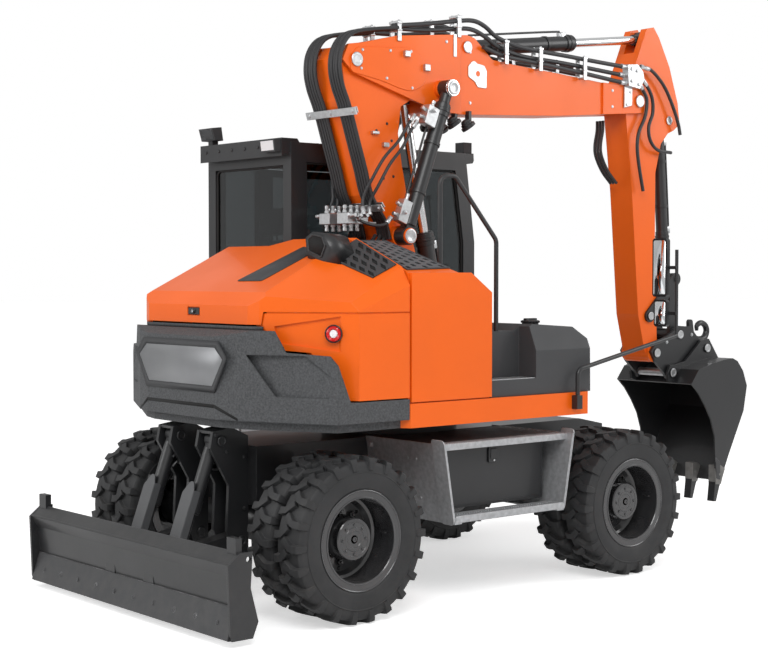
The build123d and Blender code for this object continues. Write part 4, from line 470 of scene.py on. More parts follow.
# %% Joining and copying shapes
def joined(*shapes):
    """Several shapes as one."""
    points, faces, start = [], [], 0
    for shape_points, shape_faces in shapes:
        shape_points = np.asarray(shape_points, float).reshape(-1, 3)
        points.append(shape_points)
        faces += [np.asarray(block, int) + start for block in shape_faces]
        start += len(shape_points)
    return np.concatenate(points), faces


def copies(shape, places, turns=None):
    """The shape at each place; turns holds one 3 by 3 matrix a copy, whose rows are the shape's own axes."""
    points, faces = np.asarray(shape[0], float).reshape(-1, 3), shape[1]
    places = np.asarray(places, float).reshape(-1, 3)
    turns = np.broadcast_to(np.eye(3) if turns is None else np.asarray(turns, float), (len(places), 3, 3))
    moved = np.einsum("pk,nkj->npj", points, turns) + places[:, None]
    step = np.arange(len(places))[:, None, None] * len(points)
    blocks = [(np.asarray(block, int)[None] + step).reshape(-1, np.shape(block)[1]) for block in faces]
    return moved.reshape(-1, 3), blocks


def axes_to(direction, up=(0, 0, 1)):
    """Rows of a frame whose third axis is the direction and whose first lies square to up."""
    third = unit(direction)
    up = np.asarray(up, float) if abs(np.dot(third, up)) < 0.95 else np.array([1.0, 0, 0])
    first = unit(np.cross(up, third))
    return np.array([first, np.cross(third, first), third])


def turned_over(faces):
    """The faces with their corners in the opposite order, so that they look the other way."""
    return [np.asarray(block)[:, ::-1] for block in faces]


def mirrored(shape):
    """The shape on the machine's other side, with its faces turned to point outwards again."""
    return np.asarray(shape[0]) * (1, -1, 1), turned_over(shape[1])


# %% Turned shapes, plates and tubes
def volume(shape):
    """Six times the signed volume: positive when the faces look outwards."""
    points, total = shape[0], 0.0
    for block in shape[1]:
        for k in range(1, block.shape[1] - 1):
            a, b, c = points[block[:, 0]], points[block[:, k]], points[block[:, k + 1]]
            total += np.einsum("ij,ij->i", a, np.cross(b, c)).sum()
    return total


def outwards(shape):
    """The shape with its faces turned so that its signed volume is positive."""
    points, faces = np.asarray(shape[0], float).reshape(-1, 3), shape[1]
    return points, faces if volume((points, faces)) > 0 else turned_over(faces)


def grid_faces(rows, columns, close_rows=False, close_columns=False):
    """Quads over a grid of points, rows by columns, closed round where asked."""
    i = np.arange(rows if close_rows else rows - 1)
    j = np.arange(columns if close_columns else columns - 1)
    i, j = [a.ravel() for a in np.meshgrid(i, j, indexing="ij")]
    down, right = (i + 1) % rows, (j + 1) % columns
    return np.stack([i * columns + j, down * columns + j, down * columns + right, i * columns + right], 1)


def turned(profile, sides=24, centre=(0, 0, 0), axis=(0, 0, 1)):
    """A profile of (radius, height) turned once round an axis. Listed upwards on its outside, its faces look out.
    A profile that stays off the axis at both ends is closed to a ring."""
    profile = np.asarray(profile, float)
    angle = np.arange(sides) * 2 * np.pi / sides
    ring = np.stack([np.cos(angle), np.sin(angle)], 1)
    height = np.broadcast_to(profile[:, None, 1:], (len(profile), sides, 1))
    local = np.concatenate([profile[:, None, :1] * ring[None], height], 2)
    ring_shaped = profile[0, 0] > 0 and profile[-1, 0] > 0
    faces = grid_faces(len(profile), sides, ring_shaped, True)[:, ::-1]
    return local.reshape(-1, 3) @ axes_to(axis) + np.asarray(centre, float), [faces]


def closed_skin(rings, corners):
    """Faces of stacked rings with the same number of corners, and of the two caps that close them."""
    first = np.arange(corners)[None]
    return [grid_faces(rings, corners, False, True)[:, ::-1], first[:, ::-1], first + corners * (rings - 1)]


def rect(x_low, y_low, x_high, y_high):
    """The outline of a rectangle, counterclockwise."""
    return [(x_low, y_low), (x_high, y_low), (x_high, y_high), (x_low, y_high)]


def plate(outline, low, high, chamfer=0.0):
    """A flat outline of two columns, run counterclockwise, carried from low to high along its third axis."""
    outline = np.asarray(outline, float)
    if np.cross(outline, np.roll(outline, -1, 0)).sum() < 0:
        outline = outline[::-1]
    n = len(outline)
    ahead, back = unit(np.roll(outline, -1, 0) - outline), unit(outline - np.roll(outline, 1, 0))
    normal = np.stack([ahead[:, 1] + back[:, 1], -ahead[:, 0] - back[:, 0]], 1)
    normal /= np.maximum(1 + (ahead * back).sum(1, keepdims=True), 0.3)
    levels = [(low, 0), (high, 0)]
    if chamfer:
        levels = [(low, chamfer), (low + chamfer, 0), (high - chamfer, 0), (high, chamfer)]
    rings = [np.column_stack([outline - normal * inset, np.full(n, level)]) for level, inset in levels]
    return np.concatenate(rings), closed_skin(len(levels), n)


def flat_on(shape, origin, first, second):
    """Lays a shape out on a plane: its X along first, its Y along the part of second square to it."""
    first = unit(first)
    third = unit(np.cross(first, second))
    turn = np.array([first, np.cross(third, first), third])
    return np.asarray(shape[0]) @ turn + np.asarray(origin, float), shape[1]


def box(low, high, chamfer=0.0):
    """A block between two corners."""
    (x0, y0, z0), (x1, y1, z1) = low, high
    return plate(rect(x0, y0, x1, y1), z0, z1, chamfer)


def smooth_line(points, per_span=6):
    """Points along a Catmull-Rom curve through the given ones: each span is a cubic of its four neighbours."""
    p = np.asarray(points, float)
    p = np.concatenate([[2 * p[0] - p[1]], p, [2 * p[-1] - p[-2]]])
    t = (np.arange(per_span) / per_span)[None, :, None]
    a, b, c, d = [p[k:len(p) - 3 + k][:, None] for k in range(4)]
    line = 0.5 * (2 * b + (c - a) * t + (2 * a - 5 * b + 4 * c - d) * t**2 + (3 * b - a - 3 * c + d) * t**3)
    return np.concatenate([line.reshape(-1, 3), p[-2:-1]])


def along(line, spacing):
    """The line's points again, at even steps of about the spacing."""
    line = np.asarray(line, float)
    run = np.concatenate([[0], np.cumsum(np.linalg.norm(np.diff(line, axis=0), axis=1))])
    steps = np.linspace(0, run[-1], max(2, int(run[-1] / spacing) + 1))
    return np.stack([np.interp(steps, run, line[:, k]) for k in range(3)], 1)


def rings_round(line, radius, side, other, sides):
    """Rings of points round a line: line + radius (cos a side + sin a other), for two directions square to it."""
    angle = (np.arange(sides) * 2 * np.pi / sides)[None, :, None]
    return (line[:, None] + radius * (np.cos(angle) * side[:, None] + np.sin(angle) * other[:, None])).reshape(-1, 3)


def tube(line, radius, sides=8):
    """A round skin along a line. The frame is square to the line and carried on from ring to ring.
    radius is one number or one a point."""
    line = np.asarray(line, float)
    ahead = unit(np.gradient(line, axis=0))
    side = np.zeros_like(line)
    side[0] = axes_to(ahead[0])[0]
    for k in range(1, len(line)):
        side[k] = unit(side[k - 1] - ahead[k] * np.dot(side[k - 1], ahead[k]))
    other = np.cross(ahead, side)
    radius = np.broadcast_to(np.asarray(radius, float), len(line))[:, None, None]
    return rings_round(line, radius, side, other, sides), closed_skin(len(line), sides)


# %% Fasteners
def hex_bolt(size=0.02, head=0.008):
    """A six-sided head with a chamfered top on a round washer, its axis up; size is across the flats."""
    washer = turned(rect(0, 0, size * 0.72, head * 0.25), 12)
    corner = size / np.sqrt(3)
    body = turned([(0, head * 0.25), (corner, head * 0.25), (corner, head * 0.85), (corner * 0.85, head), (0, head)], 6)
    return joined(washer, body)


def pin_cap(radius, height):
    """A round cap with a chamfer, a dimple and a raised lip, its axis up."""
    return turned(
        [(0, 0), (radius, 0), (radius, height * 0.6), (radius * 0.9, height), (radius * 0.62, height),
         (radius * 0.55, height * 0.7), (radius * 0.2, height * 0.65), (0, height * 0.65)], 28)


print("tools ready")
# %% [markdown]
# ## Tyres
# These are traction tyres. A row of heavy lugs stands on each shoulder; each starts on the sidewall,
# runs straight in, bends at about a third of the width and ends past the middle between two lugs of
# the other row. A lug could be cut from a solid ring, but it is easier to see it as a bar with a
# trapezoid section that follows a bent line, and one bar copied round the wheel is the whole tread.
# The carcass under it is a turned profile with a bulging sidewall and a thin moulded ridge.

# %% Tyre shape
TYRE_RADIUS, WHEEL_Z = 0.5, 0.5
OUTER_Y, TWIN_STEP = 1.06, 0.268
LUGS_A_ROW = 22
AXLES = {"front": 1.22, "rear": -1.18}

# half of the carcass from the bead to the middle of the tread, as (radius, offset)
CARCASS_HALF = [
    (0.264, 0.0885), (0.289, 0.088), (0.302, 0.0925), (0.308, 0.099), (0.313, 0.102), (0.322, 0.104),
    (0.35, 0.111), (0.375, 0.114), (0.395, 0.1135), (0.404, 0.1135), (0.406, 0.116), (0.41, 0.116),
    (0.412, 0.112), (0.44, 0.1085), (0.46, 0.1035), (0.469, 0.095), (0.4725, 0.08), (0.4745, 0.04),
    (0.475, 0.0001),
]
# stations of one lug: offset and radius at its foot, at its top, place round the tyre, half widths at foot and top
LUG = np.array([
    (0.112, 0.418, 0.115, 0.4185, 0.0, 0.02, 0.015),
    (0.108, 0.43, 0.1172, 0.43, 0.0, 0.0225, 0.018),
    (0.105, 0.456, 0.1172, 0.47, 0.0, 0.0265, 0.0215),
    (0.09, 0.466, 0.108, 0.4925, 0.0, 0.028, 0.0225),
    (0.078, 0.47, 0.08, 0.4985, 0.0, 0.027, 0.0215),
    (0.042, 0.472, 0.042, 0.5, 0.006, 0.0255, 0.02),
    (0.015, 0.472, 0.015, 0.5, 0.028, 0.024, 0.019),
    (-0.018, 0.472, -0.015, 0.5, 0.054, 0.0225, 0.0175),
])


def wrap(offset, radius, arc):
    """Lays (offset, radius, arc length) on the tyre: the arc becomes an angle round the axle."""
    angle = arc / TYRE_RADIUS
    return np.stack([radius * np.sin(angle), offset, radius * np.cos(angle)], -1)


def lug_bar():
    """The lug: at each station four corners, foot and top on both sides, moved square to the bent line."""
    foot_y, foot_r, top_y, top_r, arc, foot_half, top_half = LUG.T
    run = unit(np.stack([np.gradient(top_y), np.gradient(arc)], 1))
    run[:4] = (-1, 0)
    side_y, side_arc = -run[:, 1], run[:, 0]
    corner = []
    for y, r, half, sign in ((foot_y, foot_r, foot_half, 1), (top_y, top_r, top_half, 1),
                             (top_y, top_r, top_half, -1), (foot_y, foot_r, foot_half, -1)):
        corner.append(wrap(y + sign * half * side_y, r, arc + sign * half * side_arc))
    points = np.stack(corner, 1)
    return outwards((points.reshape(-1, 3), closed_skin(len(LUG), 4)))


def spun(shape, count, start=0.0):
    """Copies of a shape about the wheel's own axis, which is Y."""
    angle = start + np.arange(count) * 2 * np.pi / count
    c, s, zero, one = np.cos(angle), np.sin(angle), np.zeros(count), np.ones(count)
    turns = np.stack([np.stack([c, zero, -s], 1), np.stack([zero, one, zero], 1), np.stack([s, zero, c], 1)], 1)
    return copies(shape, np.zeros((count, 3)), turns)


def one_tyre():
    """Carcass, both rows of lugs and the small wear pads between their feet, centred on the axle."""
    half = np.array(CARCASS_HALF)
    profile = np.concatenate([half * (1, -1), half[::-1]])
    points, faces = turned(profile, 88, axis=(0, 1, 0))
    step = 2 * np.pi / LUGS_A_ROW
    pad = box((-0.012, 0.106, 0.42), (0.012, 0.1145, 0.442), 0.002)
    right = joined(spun(lug_bar(), LUGS_A_ROW), spun(pad, LUGS_A_ROW, step / 2))
    left = spun(mirrored(joined(lug_bar(), pad)), LUGS_A_ROW, step / 2)
    return joined((points, faces), right, left)


# %% Tyres on the four wheels
TYRE = one_tyre()
for end, axle_x in AXLES.items():
    for hand, sign in (("right", -1), ("left", 1)):
        body = f"wheels_{end}_{hand}"
        middles = [(axle_x, sign * (OUTER_Y - k * TWIN_STEP), WHEEL_Z) for k in range(2)]
        treads = piece(f"tyre_treads_{end}_{hand}", copies(TYRE, middles), body, black_rubber, 32)
        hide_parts(f"tyres_{end}_{hand}")
print("tyres", PIECES[-4:])
# %% [markdown]
# ## Hoses on the boom
# Two flat bundles of five hoses climb the back of the lower boom, bow round the boom joint and end
# in a clamp on the upper boom, where fatter hoses take over and run along its top to the arm. A hose
# is a tube along a smooth curve through a few points. The points are given once for the middle of a
# bundle, and an offset across the machine places each hose, as the clamps do on the real boom.

# %% Routes
HOSE, FAT_HOSE = 0.0125, 0.0155


def at_side(points, offset):
    """(X, Z) points placed across the machine at an offset from the boom's middle."""
    points = np.asarray(points, float)
    return np.column_stack([points[:, 0], np.full(len(points), BOOM_Y + offset), points[:, 1]])


def hose(points, radius, sides=10, spacing=0.02):
    """A tube along the smooth curve through the points, its rings at even steps."""
    return tube(along(smooth_line(points, 8), spacing), radius, sides)


BUNDLE = [(-0.311, 2.3), (-0.351, 2.418), (-0.462, 2.579), (-0.52, 2.76), (-0.577, 2.932), (-0.65, 3.152),
          (-0.705, 3.28), (-0.729, 3.4), (-0.708, 3.52), (-0.63, 3.612), (-0.48, 3.655), (-0.24, 3.69)]
FIVE = 0.078 + 0.0262 * np.arange(5)

bundles = []
for side in (-1, 1):
    for k, offset in enumerate(FIVE):
        route = np.array(BUNDLE)
        route[6:11] += np.array([[-0.35, 0.3], [-1, 0.0], [-0.8, 0.6], [-0.3, 1], [0, 0.6]]) * 0.004 * (k % 2)
        bundles.append(hose(at_side(route, side * offset), HOSE, 8, 0.022))
bundle = piece("boom_hose_bundles", joined(*bundles), None, hose_rubber, 40)
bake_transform(bundle)
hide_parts("base_hoses")

# %% Fat hoses along the top of the upper boom
HIGH_ROUTE = ((-0.27, 3.702), (0.05, 3.748), (0.31, 3.792), (0.46, 3.808), (0.57, 3.78), (0.7, 3.712),
              (0.95, 3.668), (1.4, 3.648))
LOW_ROUTE = ((-0.27, 3.69), (0.05, 3.706), (0.31, 3.742), (0.46, 3.752), (0.59, 3.715), (0.72, 3.655),
             (0.95, 3.612), (1.4, 3.597))
# offset across, then (X, Z) points; the first three end in the block at the boom's end
TOP_ROUTES = (
    (-0.158, (*HIGH_ROUTE, (2.03, 3.622))),
    (-0.136, (*LOW_ROUTE, (2.03, 3.563))),
    (-0.15, ((0.56, 3.64), (0.76, 3.595), (1.1, 3.574), (1.43, 3.552), (2.03, 3.503))),
    (0.158, (*HIGH_ROUTE, (1.78, 3.63))),
    (0.122, (*LOW_ROUTE, (1.78, 3.575))),
)


def hoses(name, routes, body, radius, sides, spacing):
    """One piece of all the hoses in rows of (offset across, points)."""
    lines = [hose(at_side(points, offset), radius, sides, spacing) for offset, points in routes]
    return piece(name, joined(*lines), body, hose_rubber, 40)


top_hoses = hoses("upper_boom_hoses", TOP_ROUTES, "upper_boom", FAT_HOSE, 10, 0.03)
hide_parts("upper_hoses")

# %% Hoses from the boom's end block to the arm
ARM_ROUTES = (
    (-0.16, ((2.19, 3.64), (2.307, 3.625), (2.412, 3.561), (2.497, 3.478), (2.583, 3.347), (2.64, 3.23),
             (2.662, 3.15))),
    (-0.16, ((2.2, 3.56), (2.288, 3.476), (2.332, 3.398), (2.335, 3.296), (2.29, 3.191), (2.31, 3.09),
              (2.397, 3.02), (2.555, 3.007))),
    (-0.16, ((2.16, 3.53), (2.227, 3.458), (2.268, 3.393), (2.249, 3.27), (2.18, 3.15), (2.16, 3.04),
              (2.18, 2.9), (2.23, 2.7))),
)
arm_hoses = hoses("arm_joint_hoses", ARM_ROUTES, None, 0.013, 10, 0.02)
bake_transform(arm_hoses)

UNDER = ((1.92, 3.225), (1.918, 3.15), (1.895, 3.043), (1.905, 2.96), (1.975, 2.85), (2.075, 2.76))
under_hoses = hoses("arm_rear_hoses", [(y, UNDER) for y in (-0.03, 0.0, 0.03)], None, 0.011, 8, 0.02)
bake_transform(under_hoses)

# %% Hoses round the foot of the boom, from the swing frame to the manifold
FOOT_ROUTES = [[(-0.3 - 0.02 * k, BOOM_Y + y, 2.33), (-0.36 - 0.03 * k, BOOM_Y + y * 1.05, 2.2),
                (-0.3 - 0.03 * k, BOOM_Y + y * 1.05, 2.0), (-0.18, BOOM_Y + y, 1.82), (-0.15, BOOM_Y + y, 1.64)]
               for k, y in enumerate((-0.13, -0.1, -0.07, 0.07, 0.1, 0.13))]
foot_hoses = piece("boom_foot_hoses", joined(*[hose(route, HOSE, 8, 0.03) for route in FOOT_ROUTES]), None, hose_rubber,
                   40)
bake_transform(foot_hoses)
print("hoses", PIECES[-5:])

# %% [markdown]
# ## Clamps, blocks and pin caps
# Zinc-plated bars press the bundles to the boom, valve blocks sit on the cylinders, and every pin
# ends in a bright round cap. All of these are small solids with a chamfer, so one function makes
# a block from its corners and places its fittings, and the caps are copies of one turned shape.

# %% Clamps on the booms
def slanted_bar(x, z, slope, length, width, thick, lift):
    """A bar across the machine at (x, z); slope is how its face is turned, lift how far it stands off."""
    a = np.radians(slope)
    out = np.array([np.sin(a), 0, np.cos(a)])
    shape = plate(rect(-length / 2, -width / 2, length / 2, width / 2),
                  lift, lift + thick, 0.002)
    ahead = np.array([np.cos(a), 0, -np.sin(a)])
    return shape[0] @ np.array([[0, 1, 0], -ahead, out]) + (x, BOOM_Y, z), shape[1]


def bolts_on(points, direction, size=0.018, head=0.008):
    """Hex bolts at points, all pointing one way."""
    return copies(hex_bolt(size, head), points, axes_to(direction))


BASE_CLAMPS = ((-0.639, 3.12, -108.4), (-0.419, 2.512, -124.5))
bars = []
for x, z, slope in BASE_CLAMPS:
    out = np.array([np.sin(np.radians(slope)), 0, np.cos(np.radians(slope))])
    bars.append(slanted_bar(x, z, slope, 0.52, 0.05, 0.012, 0.0145))
    bars.append(slanted_bar(x, z, slope, 0.46, 0.04, 0.008, -0.022))
    bars.append(bolts_on([(x + out[0] * 0.0265, BOOM_Y + y, z + out[2] * 0.0265) for y in (-0.225, 0.0, 0.225)], out))
piece("base_boom_clamps", joined(*bars), "base_boom", fitting_metal, 30)

TOP_CLAMPS = ((-0.225, 3.625, 3.745), (0.31, 3.7, 3.835), (0.76, 3.555, 3.71), (1.1, 3.535, 3.69), (1.56, 3.508, 3.665))
parts = []
for x, low, high in TOP_CLAMPS:
    for side in (-1, 1):
        y = BOOM_Y + side * 0.14
        inner, outer = sorted((y - 0.042, y + 0.042))
        for y_low in (inner, outer - 0.012):
            parts.append(box((x - 0.016, y_low, low - 0.02), (x + 0.016, y_low + 0.012, high - 0.02), 0.002))
        for z_low, z_high in ((high - 0.026, high - 0.008), (low + 0.045, low + 0.058)):
            parts.append(box((x - 0.02, inner - 0.004, z_low), (x + 0.02, outer + 0.004, z_high), 0.003))
        parts.append(bolts_on([(x, inner + 0.01, high - 0.008), (x, outer - 0.01, high - 0.008)], (0, 0, 1), 0.014,
                              0.008))
    parts.append(box((x - 0.014, BOOM_Y - 0.18, low - 0.012), (x + 0.014, BOOM_Y + 0.18, low), 0.002))
piece("upper_boom_clamps", joined(*parts), "upper_boom", fitting_metal, 30)

# %% Blocks with fittings
def fitting(start, end, radius=0.015):
    """A hose end: hexagon, collar and sleeve along a short line."""
    start, end = np.asarray(start, float), np.asarray(end, float)
    reach = np.linalg.norm(end - start)
    nut = turned(rect(0, 0, radius * 1.25, reach * 0.3), 6, start, end - start)
    body = turned([(0, 0), (radius * 0.95, 0), (radius * 0.95, reach * 0.5), (radius * 1.15, reach * 0.55),
                   (radius * 1.15, reach * 0.95), (radius, reach), (0, reach)], 12, start, end - start)
    return joined(nut, body)


def y_plate(outline, y_low, y_high, chamfer=0.003):
    """A flat outline in (X, Z) carried across the machine from y_low to y_high."""
    shape = plate(np.asarray(outline, float), -y_high, -y_low, chamfer)
    return shape[0] @ np.array([[1, 0, 0], [0, 0, 1], [0, -1, 0]]), shape[1]


END_BLOCK = [(2.022, 3.545), (2.03, 3.48), (2.155, 3.466), (2.205, 3.54), (2.19, 3.6), (2.13, 3.65), (2.02, 3.64)]
end_parts = [
    y_plate(END_BLOCK, BOOM_Y - 0.19, BOOM_Y - 0.13),
    y_plate([(2.02, 3.32), (2.105, 3.34), (2.108, 3.48), (2.022, 3.48)], BOOM_Y - 0.156, BOOM_Y - 0.141),
    bolts_on([(2.045, BOOM_Y - 0.156, 3.345), (2.085, BOOM_Y - 0.156, 3.44)], (0, -1, 0)),
    bolts_on(at_side(((2.06, 3.61), (2.12, 3.6), (2.06, 3.52), (2.14, 3.5)), -0.19), (0, -1, 0), 0.022, 0.012),
    fitting((2.19, BOOM_Y - 0.16, 3.64), (2.29, BOOM_Y - 0.16, 3.628)),
    fitting((2.19, BOOM_Y - 0.16, 3.575), (2.262, BOOM_Y - 0.16, 3.5)),
    fitting((2.15, BOOM_Y - 0.16, 3.54), (2.215, BOOM_Y - 0.16, 3.472)),
]
for y, points in TOP_ROUTES[:3]:
    end = points[-1]
    end_parts.append(fitting((end[0] + 0.01, BOOM_Y + y, end[1]), (end[0] - 0.055, BOOM_Y + y, end[1] + 0.003), 0.017))
piece("boom_end_block", joined(*end_parts), "upper_boom", fitting_metal, 30)
print("blocks", PIECES[-3:])
# %% [markdown]
# ## Castings, caps and pipes on the boom
# The boom's cheeks are doubled by a drop-shaped plate round the joint, welded on and a little proud.
# Its corners are arcs, so a helper rounds any polygon: each corner becomes a quadratic curve between
# two points on its edges. Pins end in caps, rams in black eyes, and valve blocks sit where the
# cylinders take their oil. The same turned shapes serve for all of them, listed in tables.

# %% Rounded outlines and round bosses
def rounded(outline, radius, steps=4):
    """The polygon with each corner replaced by a quadratic curve that starts and ends at the radius."""
    corner = np.asarray(outline, float)
    before, after = np.roll(corner, 1, 0) - corner, np.roll(corner, -1, 0) - corner
    shorter = np.minimum(np.linalg.norm(before, axis=1), np.linalg.norm(after, axis=1))
    reach = np.minimum(radius, 0.45 * shorter)[:, None]
    start, end = corner + unit(before) * reach, corner + unit(after) * reach
    t = np.linspace(0, 1, steps + 1)[None, :, None]
    curve = (1 - t) ** 2 * start[:, None] + 2 * t * (1 - t) * corner[:, None] + t**2 * end[:, None]
    return curve.reshape(-1, 2)


def boss_y(point, radius, y_low, y_high, sides=36, chamfer=0.002):
    """A disc across the machine with chamfered rims."""
    length = y_high - y_low
    inner = radius - chamfer
    profile = [(0, 0), (inner, 0), (radius, chamfer), (radius, length - chamfer), (inner, length), (0, length)]
    return turned(profile, sides, (point[0], y_low, point[1]), (0, 1, 0))


def caps_y(point, radius, half, height=0.007):
    """A pin cap on each end of a pin across the boom."""
    return joined(*[copies(pin_cap(radius, height), [(point[0], BOOM_Y + s * half, point[1])], axes_to((0, s, 0)))
                    for s in (-1, 1)])


def about_boom(shape):
    """The shape and its reflection in the boom's middle plane."""
    points, faces = shape
    other = np.asarray(points) * (1, -1, 1) + (0, 2 * BOOM_Y, 0)
    return joined(shape, (other, turned_over(faces)))


# %% Drop-shaped plates on the cheeks
DROP = [(-0.64, 3.372), (-0.625, 3.47), (-0.585, 3.536), (-0.126, 3.571), (-0.02, 3.52), (0.03, 3.44),
        (0.0, 3.335), (-0.106, 3.281), (-0.2, 3.29), (-0.383, 3.336)]
DROP_BOLTS = [(-0.545, 3.4), (-0.535, 3.52), (-0.3, 3.535), (-0.12, 3.545), (0.0, 3.44), (-0.11, 3.305), (-0.33, 3.352)]
CHEEK_OUT = 0.17
drop = y_plate(rounded(DROP, 0.06, 5), BOOM_Y - CHEEK_OUT - 0.005, BOOM_Y - CHEEK_OUT + 0.002, 0.002)
piece("cheek_plates", about_boom(drop), "upper_boom", orange_paint, 30)
cheek_bolts = about_boom(bolts_on([(x, BOOM_Y - CHEEK_OUT - 0.005, z) for x, z in DROP_BOLTS], (0, -1, 0), 0.014,
                                  0.006))
side_bolts = about_boom(bolts_on([(0.46, BOOM_Y - 0.125, 3.6), (0.46, BOOM_Y - 0.125, 3.25), (1.9, BOOM_Y - 0.14, 3.44),
                                  (1.9, BOOM_Y - 0.14, 3.32), (0.2, BOOM_Y - 0.17, 3.64)], (0, -1, 0), 0.016, 0.007))
piece("cheek_bolts", joined(cheek_bolts, side_bolts), "upper_boom", fitting_metal, 30)

# %% Caps on the pins
# piece and body, then for each pin (X, Z), cap radius, half the pin's length and the height if it isn't 7 mm
PIN_CAPS = (
    ("upper_boom_pin_caps", "upper_boom", ((-0.585, 3.455), 0.046, 0.18), ((0.43, 3.63), 0.04, 0.133),
     ((2.2, 3.38), 0.046, 0.15)),
    ("base_boom_pin_caps", "base_boom", ((-0.23, 2.32), 0.048, 0.3, 0.006)),
    ("arm_pin_caps", "arm", ((2.58, 3.26), 0.034, 0.118), ((2.36, 1.745), 0.032, 0.137)),
    ("adjust_pin_caps", "adjust_rods", ((0.15, 3.315), 0.048, 0.3, 0.006)),
    ("coupler_pin_caps", "bucket", ((2.4, 1.46), 0.034, 0.168), ((2.675, 1.595), 0.034, 0.168)),
    ("bucket_pin_caps", "bucket", ((2.96, 1.481), 0.034, 0.207), ((2.545, 1.303), 0.034, 0.207)),
)
for name, body, *pins in PIN_CAPS:
    piece(name, joined(*[caps_y(*pin) for pin in pins]), body, fitting_metal, 30)

# %% Black eyes over the rams' chrome
def eye_sleeve(point, radius, middle_y, half):
    """A black shell a hair larger than the eye of a ram."""
    return boss_y(point, radius + 0.0008, middle_y - half - 0.0006, middle_y + half + 0.0006, 40, 0.003)


def at_y(point, y):
    """An (X, Z) point placed at one Y."""
    return np.array([point[0], y, point[1]])


def rod_collar(base, tip, middle_y, eye_radius, rod_radius, length=0.075):
    """The black neck between the eye and the bright rod."""
    base, tip = at_y(base, middle_y), at_y(tip, middle_y)
    run = unit(tip - base)
    start = tip - run * (eye_radius + length * 0.75)
    r = rod_radius * 1.25 + 0.001
    return turned([(rod_radius * 0.9, 0), (r - 0.003, 0), (r, 0.003), (r, length), (r * 0.9, length)], 28, start, run)


# (X, Z) of the pin at the base and of the pin at the rod's eye, at rest
ADJUST = (-0.23, 2.32), (0.15, 3.315)
LIFT = (0.357, 1.33), (-0.06, 3.33)
ARM_RAM = (0.43, 3.63), (2.395, 3.88)
CURL = (2.58, 3.26), (2.67, 2.03)
ADJUST_OFF = 0.24
for side in (-1, 1):
    middle = BOOM_Y + side * ADJUST_OFF
    name = "right" if side < 0 else "left"
    end = middle + side * 0.0525
    sleeve = joined(eye_sleeve(ADJUST[1], 0.056, middle, 0.045), rod_collar(*ADJUST, middle, 0.056, 0.03),
                    boss_y(ADJUST[1], 0.0548, min(end, end + side * 0.007), max(end, end + side * 0.007), 36, 0.002))
    piece(f"adjust_rod_eye_{name}", sleeve, "adjust_rods", black_paint, 35)
# body of the rod, pins, radius of the eye, radius of the rod
RAMS = (("lift_rod", *LIFT, 0.064, 0.034), ("arm_rod", *ARM_RAM, 0.06, 0.032), ("bucket_rod", *CURL, 0.048, 0.028))
for body, base, tip, eye_radius, rod_radius in RAMS:
    sleeve = joined(eye_sleeve(tip, eye_radius, BOOM_Y, 0.0494), rod_collar(base, tip, BOOM_Y, eye_radius, rod_radius))
    piece(body + "_eye", sleeve, body, black_paint, 35)

# %% Pipes, bands and valve blocks on the cylinders
def beside(base, tip, middle_y, reach, off):
    """A point at a reach along a cylinder's axis, moved off it in its plane."""
    run = unit(np.array([tip[0] - base[0], 0, tip[1] - base[1]]))
    up = np.array([-run[2], 0, run[0]])
    return at_y(base, middle_y) + run * reach + up * off


def cylinder_dress(base, tip, middle_y, length, radius, side=1.0):
    """A steel pipe from base to gland beside the tube, two bands round it and the port blocks.
    side 1 puts the pipe above or behind the tube, -1 on the other side."""
    run = at_y(tip, middle_y) - at_y(base, middle_y)
    pipe = [beside(base, tip, middle_y, r, side * o) for r, o in
            ((0.16, radius), (0.16, radius + 0.03), (0.21, radius + 0.034), (length - 0.2, radius + 0.034),
             (length - 0.12, radius + 0.026), (length - 0.09, radius))]
    bands = [turned(rect(radius + 0.001, 0, radius + 0.006, 0.022), 32,
                    beside(base, tip, middle_y, r, 0), run) for r in (0.3, length - 0.3)]
    gland = turned([(radius * 1.12 + 0.001, 0), (radius * 1.12 + 0.004, 0.003), (radius * 1.12 + 0.004, 0.018),
                    (radius * 1.12 + 0.001, 0.021)], 32, beside(base, tip, middle_y, length - 0.06, 0), run)
    saddles = []
    for r in (0.16, length - 0.1):
        axes = np.array([unit(run), np.array([0, 1, 0]), unit(np.cross(run, (0, 1, 0)))])
        block = plate(rounded(rect(-0.028, -0.024, 0.028, 0.024), 0.006, 2), -0.012, 0.026, 0.003)
        turn = axes if side * np.dot(axes[2], (-run[2], 0, run[0])) > 0 else axes * [[1], [-1], [-1]]
        saddles.append((block[0] @ turn + beside(base, tip, middle_y, r, side * radius), block[1]))
    return joined(tube(along(smooth_line(pipe, 6), 0.02), 0.008, 10), gland, *bands), joined(*saddles)


# name, body, pins, Y of the axis, length of the barrel, its radius, side of the pipe
CYLINDERS = (
    ("adjust_right", "adjust_barrels", *ADJUST, BOOM_Y - ADJUST_OFF, 0.95, 0.05, 1.0),
    ("adjust_left", "adjust_barrels", *ADJUST, BOOM_Y + ADJUST_OFF, 0.95, 0.05, 1.0),
    ("lift", "lift_barrel", *LIFT, BOOM_Y, 1.05, 0.06, -1.0),
    ("arm_lift", "arm_barrel", *ARM_RAM, BOOM_Y, 1.18, 0.055, 1.0),
    ("bucket_curl", "bucket_barrel", *CURL, BOOM_Y, 0.95, 0.046, 1.0),
)
for name, body, *rest in CYLINDERS:
    pipes, metal = cylinder_dress(*rest)
    piece(name + "_pipes", pipes, body, black_paint, 40)
    piece(name + "_ports", metal, body, fitting_metal, 30)

